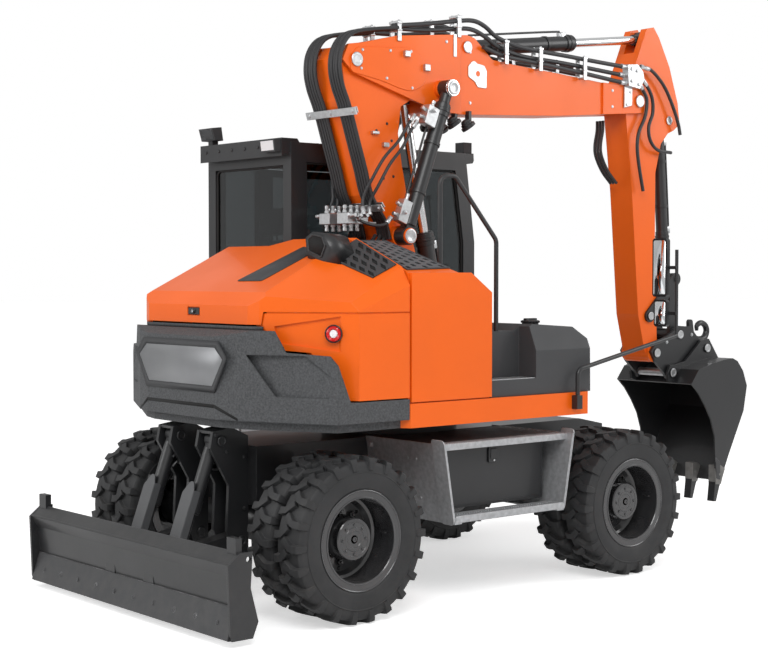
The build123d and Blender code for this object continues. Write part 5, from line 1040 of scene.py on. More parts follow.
# %% Burst valves on the adjusting cylinders and the manifold at the boom's foot
def valve_block(low, high, y_low, y_high, ports):
    """A block with bevelled edges and hexagon plugs on its outer face and top."""
    body = box((low[0], y_low, low[1]), (high[0], y_high, high[1]), 0.004)
    return joined(body, *[fitting(start, end, 0.012) for start, end in ports])


def leaning(shape, base, tip, middle_y):
    """Turns a shape made upright beside the Z axis so that it stands along a cylinder from its base pin."""
    run = unit(np.array([tip[0] - base[0], 0, tip[1] - base[1]]))
    turn = np.array([[run[2], 0, -run[0]], [0, 1, 0], run])
    return np.asarray(shape[0]) @ turn + (base[0], middle_y, base[1]), shape[1]


burst = []
for side in (-1, 1):
    y = side * 0.02
    upper = valve_block((-0.15, 0.745), (-0.056, 0.88), y - 0.034, y + 0.034,
                        [((-0.1, y, 0.88), (-0.1, y, 0.925)), ((-0.103, y - 0.034, 0.85), (-0.103, y - 0.062, 0.85)),
                         ((-0.15, y, 0.79), (-0.185, y, 0.78)), ((-0.15, y, 0.84), (-0.182, y, 0.845))])
    lower = valve_block((-0.128, 0.06), (-0.052, 0.215), y - 0.03, y + 0.03,
                        [((-0.09, y, 0.215), (-0.09, y, 0.262)), ((-0.128, y, 0.1), (-0.165, y, 0.095)),
                         ((-0.128, y, 0.17), (-0.16, y, 0.175)), ((-0.092, y - 0.03, 0.13), (-0.092, y - 0.056, 0.13))])
    for shape in (upper, lower):
        burst.append(leaning(shape, *ADJUST, BOOM_Y + side * ADJUST_OFF))
piece("adjust_burst_valves", joined(*burst), "adjust_barrels", fitting_metal, 30)

manifold = [*[box((-0.64, BOOM_Y + y, 2.395), (-0.47, BOOM_Y + y + 0.11, 2.47), 0.004) for y in (-0.15, 0.04)],
            box((-0.48, BOOM_Y - 0.15, 2.4), (-0.4, BOOM_Y + 0.15, 2.412), 0.002)]
for side in (-1, 1):
    for k in range(3):
        x = -0.62 + 0.052 * k
        y = BOOM_Y + side * 0.15
        manifold.append(fitting((x, y, 2.45), (x, y + side * 0.055, 2.452), 0.012))
        manifold.append(fitting((x, BOOM_Y + side * 0.095, 2.47), (x, BOOM_Y + side * 0.095, 2.52), 0.012))
        manifold.append(fitting((x, BOOM_Y + side * 0.095, 2.395), (x, BOOM_Y + side * 0.095, 2.35), 0.012))
piece("boom_foot_manifold", joined(*manifold), "base_boom", fitting_metal, 30)

# %% Thin lines between the manifold and the valves
LINES = (
    ((-0.6, -0.055, 2.452), (-0.56, -0.17, 2.42), (-0.48, -0.235, 2.385), (-0.395, -0.25, 2.4), (-0.352, -0.24, 2.44)),
    ((-0.548, -0.055, 2.452), (-0.52, -0.16, 2.56), (-0.48, -0.215, 2.7), (-0.4, -0.235, 2.83), (-0.29, -0.245, 2.94),
     (-0.205, -0.25, 3.06), (-0.15, -0.24, 3.12)),
    ((-0.496, -0.055, 2.452), (-0.47, -0.17, 2.54), (-0.44, -0.225, 2.65), (-0.36, -0.245, 2.79), (-0.26, -0.25, 2.9),
     (-0.165, -0.245, 3.04), (-0.128, -0.245, 3.08)),
)
pipes, ends = [], []
for route in LINES:
    route = np.array(route)
    for side in (-1, 1):
        placed = route * (1, -side, 1) + (0, BOOM_Y, 0)
        placed[0, 1] = BOOM_Y + side * 0.2
        line = along(smooth_line(placed, 6), 0.02)
        pipes.append(tube(line, 0.0105, 10))
        ends.append(fitting(line[0], line[3], 0.014))
        ends.append(fitting(line[-1], line[-4], 0.014))
thin = piece("valve_hoses", joined(*pipes), None, hose_rubber, 40)
ferrules = piece("valve_hose_ends", joined(*ends), None, fitting_metal, 40)
for obj in (thin, ferrules):
    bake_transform(obj)

# %% Plates and blocks on the boom's sides
GAUGE = [(0.44, 3.5), (0.475, 3.535), (0.5, 3.54), (0.52, 3.525), (0.59, 3.515), (0.615, 3.48), (0.612, 3.36),
         (0.53, 3.362), (0.5, 3.4), (0.44, 3.43)]
side_parts = [y_plate(rounded(GAUGE, 0.008, 2), BOOM_Y - 0.131, BOOM_Y - 0.1245, 0.001),
              box((-0.19, BOOM_Y - 0.2, 3.505), (-0.145, BOOM_Y - 0.1745, 3.545), 0.003),
              box((-0.015, BOOM_Y - 0.2, 3.425), (0.03, BOOM_Y - 0.1745, 3.47), 0.003),
              box((0.262, BOOM_Y - 0.176, 3.545), (0.29, BOOM_Y - 0.17, 3.7), 0.002)]
piece("boom_side_plates", about_boom(joined(*side_parts)), "upper_boom", fitting_metal, 30)
piece("boom_gauge_hole", about_boom(boss_y((0.53, 3.455), 0.02, BOOM_Y - 0.1318, BOOM_Y - 0.13, 24, 0.0005)),
      "upper_boom",
      orange_paint, 30)
SCREWS = [(-0.3, 3.06), (-0.39, 3.01), (-0.33, 2.7), (-0.245, 2.715), (-0.26, 2.95)]
piece("base_boom_screws", about_boom(bolts_on(at_side(SCREWS, -0.14), (0, -1, 0), 0.014, 0.005)), "base_boom",
      black_paint, 30)
lugs = [box((-0.345, BOOM_Y - 0.165, 2.905), (-0.3, BOOM_Y - 0.1395, 2.935), 0.003),
        box((-0.44, BOOM_Y - 0.165, 2.985), (-0.385, BOOM_Y - 0.1395, 3.005), 0.003)]
piece("base_boom_lugs", joined(*lugs), "base_boom", fitting_metal, 30)

# %% Work lamps under the upper boom
def work_lamp(place, direction, size=0.052):
    """A round housing with a rim, fins behind and a bowed lens; returns (housing, lens)."""
    housing = turned([(0, -0.055), (size * 0.45, -0.052), (size * 0.62, -0.04), (size * 0.62, -0.03),
                      (size * 0.8, -0.028),
                      (size * 0.8, -0.014), (size, -0.01), (size, 0.012), (size * 0.9, 0.014), (size * 0.88, 0.004),
                      (0, 0.004)],
                     28, place, direction)
    lens = turned([(0, 0.005), (size * 0.87, 0.005), (size * 0.8, 0.011), (size * 0.4, 0.015), (0, 0.016)], 28, place,
                  direction)
    return housing, lens


LAMP_AIM = np.array([0.55, 0.25, -0.8])
housings, lenses = [], []
for x, z in ((0.3, 3.095), (0.43, 3.085)):
    for side in (-1, 1):
        shell_part, lens_part = work_lamp((x, BOOM_Y + side * 0.14, z), LAMP_AIM * (1, side, 1))
        housings.append(shell_part)
        housings.append(box((x - 0.012, BOOM_Y + side * 0.14 - 0.02, z + 0.02),
                            (x + 0.012, BOOM_Y + side * 0.14 + 0.02, 3.19), 0.002))
        lenses.append(lens_part)
piece("boom_work_lamps", joined(*housings), "upper_boom", black_paint, 35)
piece("boom_lamp_lenses", joined(*lenses), "upper_boom", clear_lens, 35)
print("boom", len(PIECES), PIECES[-4:])
# %% [markdown]
# ## Vents, lamps and small parts on the upper body
# The engine breathes through two dark grilles: a plate with slanted slots behind the boom and a
# finer one with ovals on the roof of the side housing. A grille is a sheet of cells, each an
# eight-cornered ring round its hole; rows are shifted by half a cell, and because every ring has a
# point in the middle of its sides, shifted rows still meet point to point. The sheet is laid on the
# slanted face of the cover by its plane, with a black sheet behind the holes as painted shade: it
# darkens the cover's face that the holes would show.

# %% Planes and grilles
class Facet:
    """A slanted plane through three points; places (x, y) on it and lifts points off it."""

    def __init__(self, first, second, third):
        self.origin = np.asarray(first, float)
        normal = np.cross(np.subtract(second, first), np.subtract(third, first))
        self.normal = unit(normal * np.sign(normal[2]))

    def at(self, xy, lift=0.0):
        xy = np.asarray(xy, float)
        z = self.origin[2] - ((xy - self.origin[:2]) @ self.normal[:2]) / self.normal[2]
        return np.concatenate([xy, z[..., None]], -1) + self.normal * lift

    def slab(self, outline, low, high):
        """A plate over an (x, y) outline, between two heights above the plane."""
        points = np.concatenate([self.at(outline, low), self.at(outline, high)])
        return outwards((points, closed_skin(2, len(outline))))


def grille(facet, corners, rows, count, hole, low, high, skew=0.0, blunt=0.72):
    """A perforated sheet over four (x, y) corners. hole holds the hole's share of a cell (across, along);
    skew slants it, and blunt is how far its corners reach."""
    a, b, c, d = [np.asarray(v, float) for v in corners]

    def lay(s, t):
        s, t = s[..., None], t[..., None]
        return a * (1 - s) * (1 - t) + b * s * (1 - t) + c * s * t + d * (1 - s) * t

    rings, plain = [], []
    for row in range(rows):
        edges_t = np.arange(count + 1.0)
        if row % 2:
            edges_t = np.concatenate([[0], np.arange(count) + 0.5, [count]])
        t0, t1 = edges_t[:-1], edges_t[1:]
        tm, half_t = (t0 + t1) / 2, (t1 - t0) / 2
        s0, s1, sm = row, row + 1.0, row + 0.5
        outer_s = np.array([s0, s0, s0, sm, s1, s1, s1, sm])
        outer_t = np.stack([t0, tm, t1, t1, t1, tm, t0, t0], 1)
        full = half_t > 0.4
        ring_out = lay(np.broadcast_to(outer_s, outer_t.shape) / rows, outer_t / count)
        u = np.array([-1, -1, -1, 0, 1, 1, 1, 0]) * 0.5 * hole[0]
        v = np.array([-blunt, 0, blunt, 1, blunt, 0, -blunt, -1]) * 0.5 * hole[1]
        inner_s = np.broadcast_to((sm + u) / rows, (len(tm), 8))
        inner_t = (tm[:, None] + v[None] + skew * u[None]) / count
        ring_in = lay(inner_s, inner_t)
        rings.append(np.stack([ring_out[full], ring_in[full]], 1))
        plain.append(ring_out[~full][:, [0, 2, 3, 4, 6, 7]])
    rings = np.concatenate(rings)
    n = len(rings)
    out2, in2 = rings[:, 0].reshape(-1, 2), rings[:, 1].reshape(-1, 2)
    points = np.concatenate([facet.at(out2, high), facet.at(in2, high), facet.at(in2, low), facet.at(out2, low)])
    base = (np.arange(n) * 8)[:, None]
    i, j = np.arange(8)[None], (np.arange(8)[None] + 1) % 8
    level = [base + i, base + j]
    faces = []
    for upper, lower in ((0, 1), (1, 2), (2, 3)):
        faces.append(np.stack([level[0] + 8 * n * upper, level[1] + 8 * n * upper, level[1] + 8 * n * lower,
                               level[0] + 8 * n * lower], -1).reshape(-1, 4))
    shapes = [(points, faces)]
    extra = np.concatenate(plain)
    if len(extra):
        m = len(extra)
        flat = extra.reshape(-1, 2)
        ring = np.arange(m * 6).reshape(m, 6)
        shapes.append((np.concatenate([facet.at(flat, high), facet.at(flat, low)]), [ring, ring[:, ::-1] + m * 6]))
    points, faces = joined(*shapes)
    if facet_turn(points, faces, facet) < 0:
        faces = turned_over(faces)
    rim = facet_rim(facet, lay, rows, count, low, high)
    return joined((points, faces), rim)


def facet_turn(points, faces, facet):
    """Whether the first ring face looks along the plane's normal (+1) or against it (-1)."""
    p = points[faces[0][0]]
    return np.sign(np.dot(np.cross(p[1] - p[0], p[2] - p[1]), facet.normal))


def facet_rim(facet, lay, rows, count, low, high):
    """The wall round the edge of a grille."""
    t = np.arange(2 * count + 1) / (2 * count)
    s = np.arange(2 * rows + 1) / (2 * rows)
    one_t, one_s = np.ones_like(t), np.ones_like(s)
    loop = np.concatenate([lay(0 * one_t, t)[:-1], lay(s, one_s)[:-1], lay(one_t, t[::-1])[:-1],
                           lay(s[::-1], 0 * one_s)[:-1]])
    n = len(loop)
    points = np.concatenate([facet.at(loop, low), facet.at(loop, high)])
    wall = grid_faces(2, n, False, True)
    area = np.sum(loop[:, 0] * np.roll(loop[:, 1], -1) - np.roll(loop[:, 0], -1) * loop[:, 1])
    return points, [wall[:, ::-1] if area > 0 else wall]


# %% The two grilles
SHOULDER = Facet((-1.508, -0.642, 1.957), (-1.078, -0.591, 2.183), (-1.205, -1.12, 1.906))
ROOF = Facet((-0.7, -1.1, 2.09), (-0.7, -0.6, 2.285), (-0.3, -0.6, 2.285))
SLOPE = Facet((-1.5, 0.0, 1.962), (-0.836, 0.0, 2.297), (-0.836, -0.5, 2.297))

VENT = [(-0.99, -1.03), (-0.812, -1.04), (-0.812, -0.655), (-1.045, -0.66)]
MESH = [(-0.768, -1.085), (-0.4, -1.06), (-0.545, -0.625), (-0.768, -0.625)]
vent = grille(SHOULDER, VENT, 4, 5, (0.56, 0.62), 0.002, 0.008, 0.8, 0.94)
mesh_sheet = grille(ROOF, MESH, 5, 8, (0.52, 0.7), 0.002, 0.006)
piece("engine_vent", vent, "hood", tank_plastic, 20)
# A black slab under the vent's holes is painted shade: it darkens the cover seen through them.
piece("engine_vent_shade", SHOULDER.slab(VENT, 0.0004, 0.0018), "hood", gasket_and_shade_black)
piece("housing_mesh", mesh_sheet, "upper", mesh_grey, 20)
# A black slab under the mesh's holes is painted shade: it darkens the housing seen through them.
piece("housing_mesh_shade", ROOF.slab(MESH, 0.0004, 0.0018), "upper", gasket_and_shade_black)
frame_line = [ROOF.at(p, 0.004) for p in MESH]
frame_bars = [tube([a, (a + b) / 2, b], 0.006, 8) for a, b in zip(frame_line, frame_line[1:] + frame_line[:1])]
piece("housing_mesh_frame", joined(*frame_bars), "upper", tank_plastic, 40)

# %% Strip on the slope and camera
STRIP = rounded([(-1.376, -0.16), (-1.371, -0.42), (-1.0, -0.49), (-0.944, -0.283)], 0.02, 3)
piece("hood_strip", SLOPE.slab(STRIP, 0.0005, 0.005), "hood", tank_plastic)

camera_parts = [box((-1.5745, -0.03, 1.818), (-1.562, 0.09, 1.86), 0.002),
                turned([(0, 0), (0.016, 0), (0.016, 0.01), (0.012, 0.012), (0, 0.012)], 24, (-1.574, 0.03, 1.839),
                       (-1, 0, 0.1))]
piece("tail_camera", joined(*camera_parts), "hood", black_paint, 35)
piece("tail_camera_lens", turned([(0, 0.0121), (0.01, 0.0121), (0.007, 0.015), (0, 0.016)], 20, (-1.574, 0.03, 1.839),
                                 (-1, 0, 0.1)), "hood", clear_lens, 40)

# %% Tail lamps
LAMP = np.array([-1.278, -1.023, 1.72])
LAMP_OUT = np.array([-0.821, -0.571, 0.0])


def tail_lamp():
    """Black bowl, red ring and a white middle, each a turned profile about the lamp's own axis."""
    at = LAMP + LAMP_OUT * 0.001
    bowl = turned([(0, 0), (0.052, 0), (0.054, 0.004), (0.054, 0.014), (0.05, 0.017), (0.046, 0.012), (0, 0.012)], 36,
                  at, LAMP_OUT)
    ring = turned([(0.026, 0.0125), (0.0455, 0.0125), (0.044, 0.019), (0.036, 0.022), (0.028, 0.019), (0.026, 0.0125)],
                  36, at, LAMP_OUT)
    middle = turned([(0, 0.0125), (0.0245, 0.0125), (0.022, 0.018), (0.01, 0.0205), (0, 0.021)], 28, at, LAMP_OUT)
    return bowl, ring, middle


for name, shape, material in zip(("bowls", "rings", "middles"), tail_lamp(), (black_paint, red_lens, white_lens)):
    piece("tail_lamp_" + name, joined(shape, mirrored(shape)), "upper", material, 35)

# %% Tank cap and shelf plate
cap_at = (0.476, -0.9, 1.7455)
CAP_RIBS = 20
cap_disc = turned([(0, 0), (0.06, 0), (0.062, 0.003), (0.062, 0.014), (0.056, 0.018), (0.03, 0.018), (0.028, 0.016),
                   (0, 0.016)], 40, cap_at)
rib_turns = [[[np.cos(a), np.sin(a), 0], [-np.sin(a), np.cos(a), 0], [0, 0, 1]]
             for a in np.arange(CAP_RIBS) * 2 * np.pi / CAP_RIBS]
cap_rib = box((-0.003, 0.0605, 0.002), (0.003, 0.0645, 0.015), 0.001)
cap_ribs = copies(cap_rib, np.tile(cap_at, (CAP_RIBS, 1)), rib_turns)
cap_grip = box((0.426, -0.914, 1.761), (0.526, -0.886, 1.777), 0.003)
piece("tank_cap", joined(cap_disc, cap_ribs, cap_grip), "upper", black_paint, 35)
SHELF = Facet((-0.1, -1.15, 1.395), (0.3, -1.15, 1.395), (0.0, -0.97, 1.395))
SHELF_AREA = rect(-0.095, -1.125, 0.292, -0.978)
piece("shelf_tread", grille(SHELF, SHELF_AREA, 8, 3, (0.5, 0.55), 0.001, 0.006), "upper", fitting_metal, 20)
# A black slab under the tread's holes is painted shade in them.
piece("shelf_tread_shade", SHELF.slab(SHELF_AREA, 0.0003, 0.0009), "upper", gasket_and_shade_black)
print("cover", len(PIECES), PIECES[-3:])
# %% [markdown]
# ## Wheels, steps and blade
# The rims are deep glossy bowls. What the eye reads is their edge, so the flange gets a rolled lip and
# a seat bead, and the hub its stepped cap, ring of nuts and valve. Each is one turned profile, laid on
# all four wheels from a table of axles and sides. Steps are galvanised: a rail with a row of teeth
# punched up from it, and cheek plates at the ends. The blade carries a bolted cutting edge, whose
# upper rim is the bright line across it, and folded guards stand in front of its rams.

# %% Rim lips, hub caps and nuts
# how far the rim's edge, the hub cap and the disc stand from the machine's middle
RIM_FACE, HUB_FACE, DISC_FACE = 1.157, 1.076, 0.939


def wheel_metal():
    """Lip, bead, hub cap rings, nuts and valve of a right-hand wheel, about the axle's own origin."""
    out = (0, -1, 0)
    lip = turned([(0.292, -0.004), (0.3015, -0.004), (0.3035, 0.0), (0.303, 0.004), (0.3, 0.0055), (0.296, 0.004),
                  (0.2925, 0.0), (0.292, -0.004)], 96, (0, -RIM_FACE, 0), out)
    bead = turned([(0.2505, -0.006), (0.26, -0.006), (0.2625, -0.001), (0.26, 0.004), (0.254, 0.0045), (0.2505, 0.0),
                   (0.2505, -0.006)], 96, (0, -RIM_FACE, 0), out)
    cap = turned([(0, 0.0), (0.126, 0.0), (0.128, 0.003), (0.128, 0.009), (0.122, 0.014), (0.104, 0.015),
                  (0.102, 0.013), (0.072, 0.013), (0.07, 0.015), (0.052, 0.015), (0.05, 0.013), (0, 0.013)],
                 56, (0, -HUB_FACE, 0), out)
    cap_bolts = spun(copies(hex_bolt(0.015, 0.007), [(0, -HUB_FACE - 0.013, 0.087)], axes_to(out)), 8)
    plug = turned([(0, 0), (0.016, 0), (0.016, 0.006), (0.009, 0.006), (0.008, 0.002), (0, 0.002)], 20,
                  (0, -HUB_FACE - 0.013, 0), out)
    stud_at = (0, -DISC_FACE, 0.153), out
    washer = turned(rect(0, 0, 0.025, 0.003), 20, *stud_at)
    nut = turned([(0, 0.003), (0.0215, 0.003), (0.0215, 0.022), (0.017, 0.0255), (0, 0.0255)], 6, *stud_at)
    stud = turned([(0, 0.0255), (0.009, 0.0255), (0.009, 0.034), (0.007, 0.036), (0, 0.036)], 14, *stud_at)
    nuts = spun(joined(washer, nut, stud), 10)
    valve = tube([(0.232, -1.05, 0.02), (0.228, -1.085, 0.02), (0.222, -1.11, 0.02)], [0.007, 0.0045, 0.004], 10)
    return joined(lip, bead), joined(cap, cap_bolts, plug, nuts, valve)


lips, hubs = wheel_metal()
for end, axle_x in AXLES.items():
    for hand in ("right", "left"):
        body = f"wheels_{end}_{hand}"
        for name, shape, material in (("lips", lips, rim_edge), ("hub", hubs, rim_paint)):
            placed = copies(shape, [(axle_x, 0, WHEEL_Z)])
            piece(f"rim_{name}_{end}_{hand}", placed if hand == "right" else mirrored(placed), body, material, 35)

# %% Steps: rails, teeth and cheeks
STEP_REAR, STEP_FRONT = ((-0.531, 1.02), (-0.448, 0.52)), ((0.612, 1.02), (0.521, 0.52))
step_parts = [box((-0.524, -1.1145, 0.976), (0.605, -1.109, 1.016), 0.0015),
              box((-0.44, -1.173, 0.53), (0.513, -1.169, 0.572), 0.0015)]
tooth = plate([(-0.005, -0.007), (0.005, -0.007), (0.004, 0.007), (-0.004, 0.007)], 0, 0.007, 0.0015)
for y, z, x0, x1 in ((-1.104, 1.014, -0.51, 0.592), (-1.052, 1.014, -0.51, 0.592), (-1.161, 0.5655, -0.43, 0.505),
                     (-1.1, 0.5655, -0.43, 0.505)):
    row = np.arange(x0, x1, 0.0205)
    step_parts.append(copies(tooth, np.column_stack([row, np.full(len(row), y), np.full(len(row), z)])))


def cheek(top, bottom, sign):
    """The plate along a step's slanted end, with a rounded upper corner; sign is -1 at the rear end."""
    run = unit(np.array([bottom[0] - top[0], 0, bottom[1] - top[1]]))
    reach = np.hypot(bottom[0] - top[0], bottom[1] - top[1])
    outline = rounded([(-0.03, 0.0), (-0.03, 0.116), (0.0, 0.124), (reach + 0.004, 0.124), (reach + 0.004, 0.0)], 0.035,
                      5)
    points, faces = plate(outline, 0.0, 0.008, 0.0015)
    out = np.array([run[2], 0, -run[0]]) * (1 if run[2] * sign > 0 else -1)
    placed = points @ np.array([run, (0, 1, 0), out]) + (top[0], -1.1725, top[1]) + out * 0.0006
    return outwards((placed, faces))


step_parts += [cheek(*STEP_REAR, -1), cheek(*STEP_FRONT, 1)]
for (tx, tz), (bx, bz), sign in ((*STEP_REAR, -1), (*STEP_FRONT, 1)):
    for share in (0.22, 0.72):
        for y in (-0.88, -0.8):
            x, z = tx + (bx - tx) * share, tz + (bz - tz) * share
            step_parts.append(bolts_on([(x + sign * 0.0005, y, z)], (sign, 0, -0.16), 0.013, 0.005))
    step_parts.append(bolts_on([(tx + (bx - tx) * 0.1, -0.44, tz + (bz - tz) * 0.1)], (sign, 0, -0.16), 0.034, 0.014))
steps = joined(*step_parts)
piece("step_teeth", joined(steps, mirrored(steps)), "chassis", zinc_sheet, 30)

# %% Tool box doors: seam, latch
bezel = y_plate(rounded(rect(-0.046, -0.052, 0.046, 0.052), 0.016, 4), -0.0025, 0.0035, 0.0015)
paddle = y_plate(rounded(rect(-0.033, -0.03, 0.033, 0.04), 0.01, 3), -0.0085, 0.0, 0.002)
latch = copies(joined(bezel, paddle), [(0.035, -1.0125, 0.909)])
frame_bars = [y_plate(rect(-0.41, low, 0.48, low + 0.006), -1.005, -1.003, 0.0008)
              for low in (0.604, 0.965)]
frame_bars += [y_plate(rect(x, 0.604, x + 0.006, 0.971), -1.005, -1.003, 0.0008)
               for x in (-0.41, 0.474)]
door_trim = joined(latch, *frame_bars)
key = turned(rect(0, 0, 0.007, 0.004), 16, (0.035, -1.015, 0.872), (0, -1, 0))
for hand in ("right", "left"):
    trim, lock = (door_trim, key) if hand == "right" else (mirrored(door_trim), mirrored(key))
    piece(f"tool_door_trim_{hand}", trim, f"tool_door_{hand}", black_paint, 30)
    piece(f"tool_door_key_{hand}", lock, f"tool_door_{hand}", fitting_metal, 30)

# %% Blade: cutting edge, rim and lifting eyes
def along_blade(line, thick, half=1.148, chamfer=0.002):
    """A strip of plate across the blade between two (X, Z) points, standing out to the rear."""
    (x0, z0), (x1, z1) = line
    run = unit(np.array([x1 - x0, z1 - z0]))
    back = np.array([-run[1], run[0]]) * (1 if run[1] > 0 else -1)
    a, b = np.array([x0, z0]), np.array([x1, z1])
    outline = [a, b, b + back * thick, a + back * thick]
    return outwards(y_plate(outline, -half, half, chamfer))


edge_plate = along_blade(((-2.1215, 0.044), (-2.065, 0.222)), 0.01)
edge_bolts = bolts_on([(-2.105, y, 0.125) for y in np.linspace(-1.02, 1.02, 10)], (-0.95, 0, 0.3), 0.024, 0.008)
piece("blade_cutting_edge", joined(edge_plate, edge_bolts), "blade", worn_steel, 30)
top_line = np.array([(-2.049, -1.146, 0.528), (-2.049, 0, 0.528), (-2.049, 1.146, 0.528)])
hook = tube(along(smooth_line([(-2.05, 1.128, 0.53), (-2.05, 1.128, 0.59), (-2.045, 1.105, 0.606), (-2.04, 1.075, 0.59),
                               (-2.04, 1.068, 0.53)], 6), 0.01), 0.007, 10)
piece("blade_rim", joined(tube(top_line, 0.0055, 10), hook, mirrored(hook)), "blade", worn_steel, 40)


def blade_guard(middle_y):
    """The folded sheet in front of a blade ram: a pointed face with two flanges, made as three plates."""
    base, tip = np.array([-1.6, 0, 1.05]), np.array([-1.85, 0, 0.36])
    run = unit(base - tip)
    back = np.array([-run[2], 0, run[0]]) * (1 if run[2] > 0 else -1)
    turn = np.array([run, np.cross(back, run), back])
    face = plate(rounded([(0.07, -0.058), (0.4, -0.058), (0.452, -0.03), (0.452, 0.0), (0.38, 0.058), (0.07, 0.058)],
                         0.012, 3), 0.0665, 0.0725, 0.001)
    parts = [outwards((face[0] @ turn, face[1]))]
    for length, across in ((0.4, -0.056), (0.38, 0.056)):
        points, faces = plate(rounded(rect(0.07, 0.02, length, 0.068), 0.01, 2), -0.003, 0.003, 0.001)
        swung = np.column_stack([points[:, 0], points[:, 2] + across, points[:, 1]])
        parts.append(outwards((swung @ turn, faces)))
    return copies(joined(*parts), [tip + (0, middle_y, 0)])


piece("blade_ram_guards", joined(blade_guard(-0.225), blade_guard(0.225)), "blade_rods", guard_grey, 30)
tower_caps = joined(*[copies(pin_cap(0.034, 0.008), [(x, s * y, z)], [axes_to((0, t, 0))])
                      for s in (-1, 1) for x, z in ((-1.6, 1.05), (-1.45, 0.42))
                      for y, t in ((0.3205 if z == 1.05 else 0.3125, s), (0.1375, -s))])
tower_bolts = joined(*[bolts_on([(x, s * 0.3125, z) for x,
                                 z in ((-1.56, 0.98), (-1.64, 1.09), (-1.43, 0.62), (-1.43, 0.94))],
                                (0, s, 0), 0.02, 0.009) for s in (-1, 1)])
piece("tower_caps", joined(tower_caps, tower_bolts), "chassis", black_paint, 30)

# %% Hoses to the blade cylinders
blade_lines = []
for side in (-1, 1):
    for k in (0, 1):
        blade_lines.append(tube(along(smooth_line([
            (-1.405, side * (0.19 + 0.02 * k), 0.9), (-1.48, side * (0.2 + 0.03 * k), 0.93 - 0.04 * k),
            (-1.56, side * 0.19, 0.9 - 0.04 * k), (-1.605, side * 0.18, 0.93 - 0.05 * k),
            (-1.637, side * 0.184, 0.91 - 0.06 * k)], 6), 0.02), 0.009, 8))
blade_hoses = piece("blade_hoses", joined(*blade_lines), None, hose_rubber, 40)
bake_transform(blade_hoses)
# %% Dark sheet on the upper step of both tool boxes
sheet = box((-0.52, -1.035, 1.0142), (0.6, -0.48, 1.0165), 0.0005)
ribs = copies(box((-0.5, -0.004, 0), (0.58, 0.004, 0.003), 0.001),
              [(0, y, 1.0165) for y in np.arange(-1.0, -0.5, 0.045)])
sheet = joined(sheet, ribs)
piece("step_sheets", joined(sheet, mirrored(sheet)), "chassis", black_paint, 30)
print("chassis", len(PIECES), PIECES[-3:])
# %% [markdown]
# ## Covers, plates and trim on the tail
# The exhaust leaves through a six-sided scoop that widens towards the vent; its hull is the convex
# hull of its mouth and its foot, and a black slab over the mouth is painted shade for the opening.
# The cast weight has a cast-in border round a blank plate, and under it a black strip is the painted
# shade of a groove. Thin parts like these lie on flat faces, so a slab from four corners and a ring
# between two outlines are enough. A lip closes most of the gap under the engine cover, as on the real
# machine, where the seam is hardly seen.

# %% Slabs, rings and hulls
def slab3(corners, thick):
    """A flat slab on four corners in space, carried along its own normal."""
    corners = np.asarray(corners, float)
    normal = unit(np.cross(corners[1] - corners[0], corners[2] - corners[0]))
    return outwards((np.concatenate([corners, corners + normal * thick]), closed_skin(2, len(corners))))


def ring_plate(outer, inner, low, high):
    """A flat ring between two outlines with the same number of corners."""
    loops = [np.column_stack([loop, np.full(len(loop), level)]) for loop, level in
             ((outer, low), (outer, high), (inner, high), (inner, low))]
    return outwards((np.concatenate(loops), [grid_faces(4, len(outer), True, True)]))


def hull(points):
    """The convex hull of points as triangles."""
    cloud = bpy.data.meshes.new("cloud")
    cloud.from_pydata(np.asarray(points).tolist(), [], [])
    bm = bmesh.new()
    bm.from_mesh(cloud)
    bpy.data.meshes.remove(cloud)
    bmesh.ops.convex_hull(bm, input=bm.verts)
    loose = [v for v in bm.verts if not v.link_faces]
    bmesh.ops.delete(bm, geom=loose, context="VERTS")
    bm.verts.index_update()
    found = np.array([tuple(v.co) for v in bm.verts])
    faces = np.array([[v.index for v in face.verts] for face in bm.faces])
    bm.free()
    return outwards((found, [faces]))


def inset_face(corners, share, lift):
    """The corners drawn towards their middle by a share and lifted off along their normal."""
    corners = np.asarray(corners, float)
    middle = corners.mean(0)
    normal = unit(np.cross(corners[1] - corners[0], corners[2] - corners[1]))
    return middle + (corners - middle) * share + normal * lift, normal


# %% Exhaust scoop
SCOOP_MOUTH = np.array([(-1.118, -0.545, 2.2), (-1.118, -0.532, 2.295), (-1.1, -0.58, 2.332), (-1.078, -0.668, 2.312),
                        (-1.07, -0.7, 2.24), (-1.085, -0.665, 2.15)])
SCOOP_FOOT = np.array([(-0.885, -0.545, 2.3), (-0.87, -0.64, 2.3), (-0.915, -0.762, 2.198), (-1.035, -0.777, 2.13),
                       (-1.09, -0.64, 2.14), (-1.11, -0.545, 2.17), (-0.9, -0.53, 2.27), (-0.9, -0.6, 2.318)])
scoop = piece("exhaust_scoop", hull(np.concatenate([SCOOP_MOUTH, SCOOP_FOOT])), "hood", black_paint)
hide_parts("exhaust")
# The scoop is a closed hull, so a black slab just off its mouth is painted shade for the dark opening.
opening, outward = inset_face(SCOOP_MOUTH, 0.76, 0.0)
outward = outward * -np.sign(outward[0])
mouth = np.concatenate([opening + outward * 0.004, opening + outward * 0.006])
piece("exhaust_mouth_shade", outwards((mouth, closed_skin(2, len(SCOOP_MOUTH)))), "hood", gasket_and_shade_black)
lip_bars = [tube([a, b], 0.006, 8) for a, b in zip(mouth[:6], np.roll(mouth[:6], -1, 0))]
piece("exhaust_rim", joined(*lip_bars), "hood", black_paint, 40)
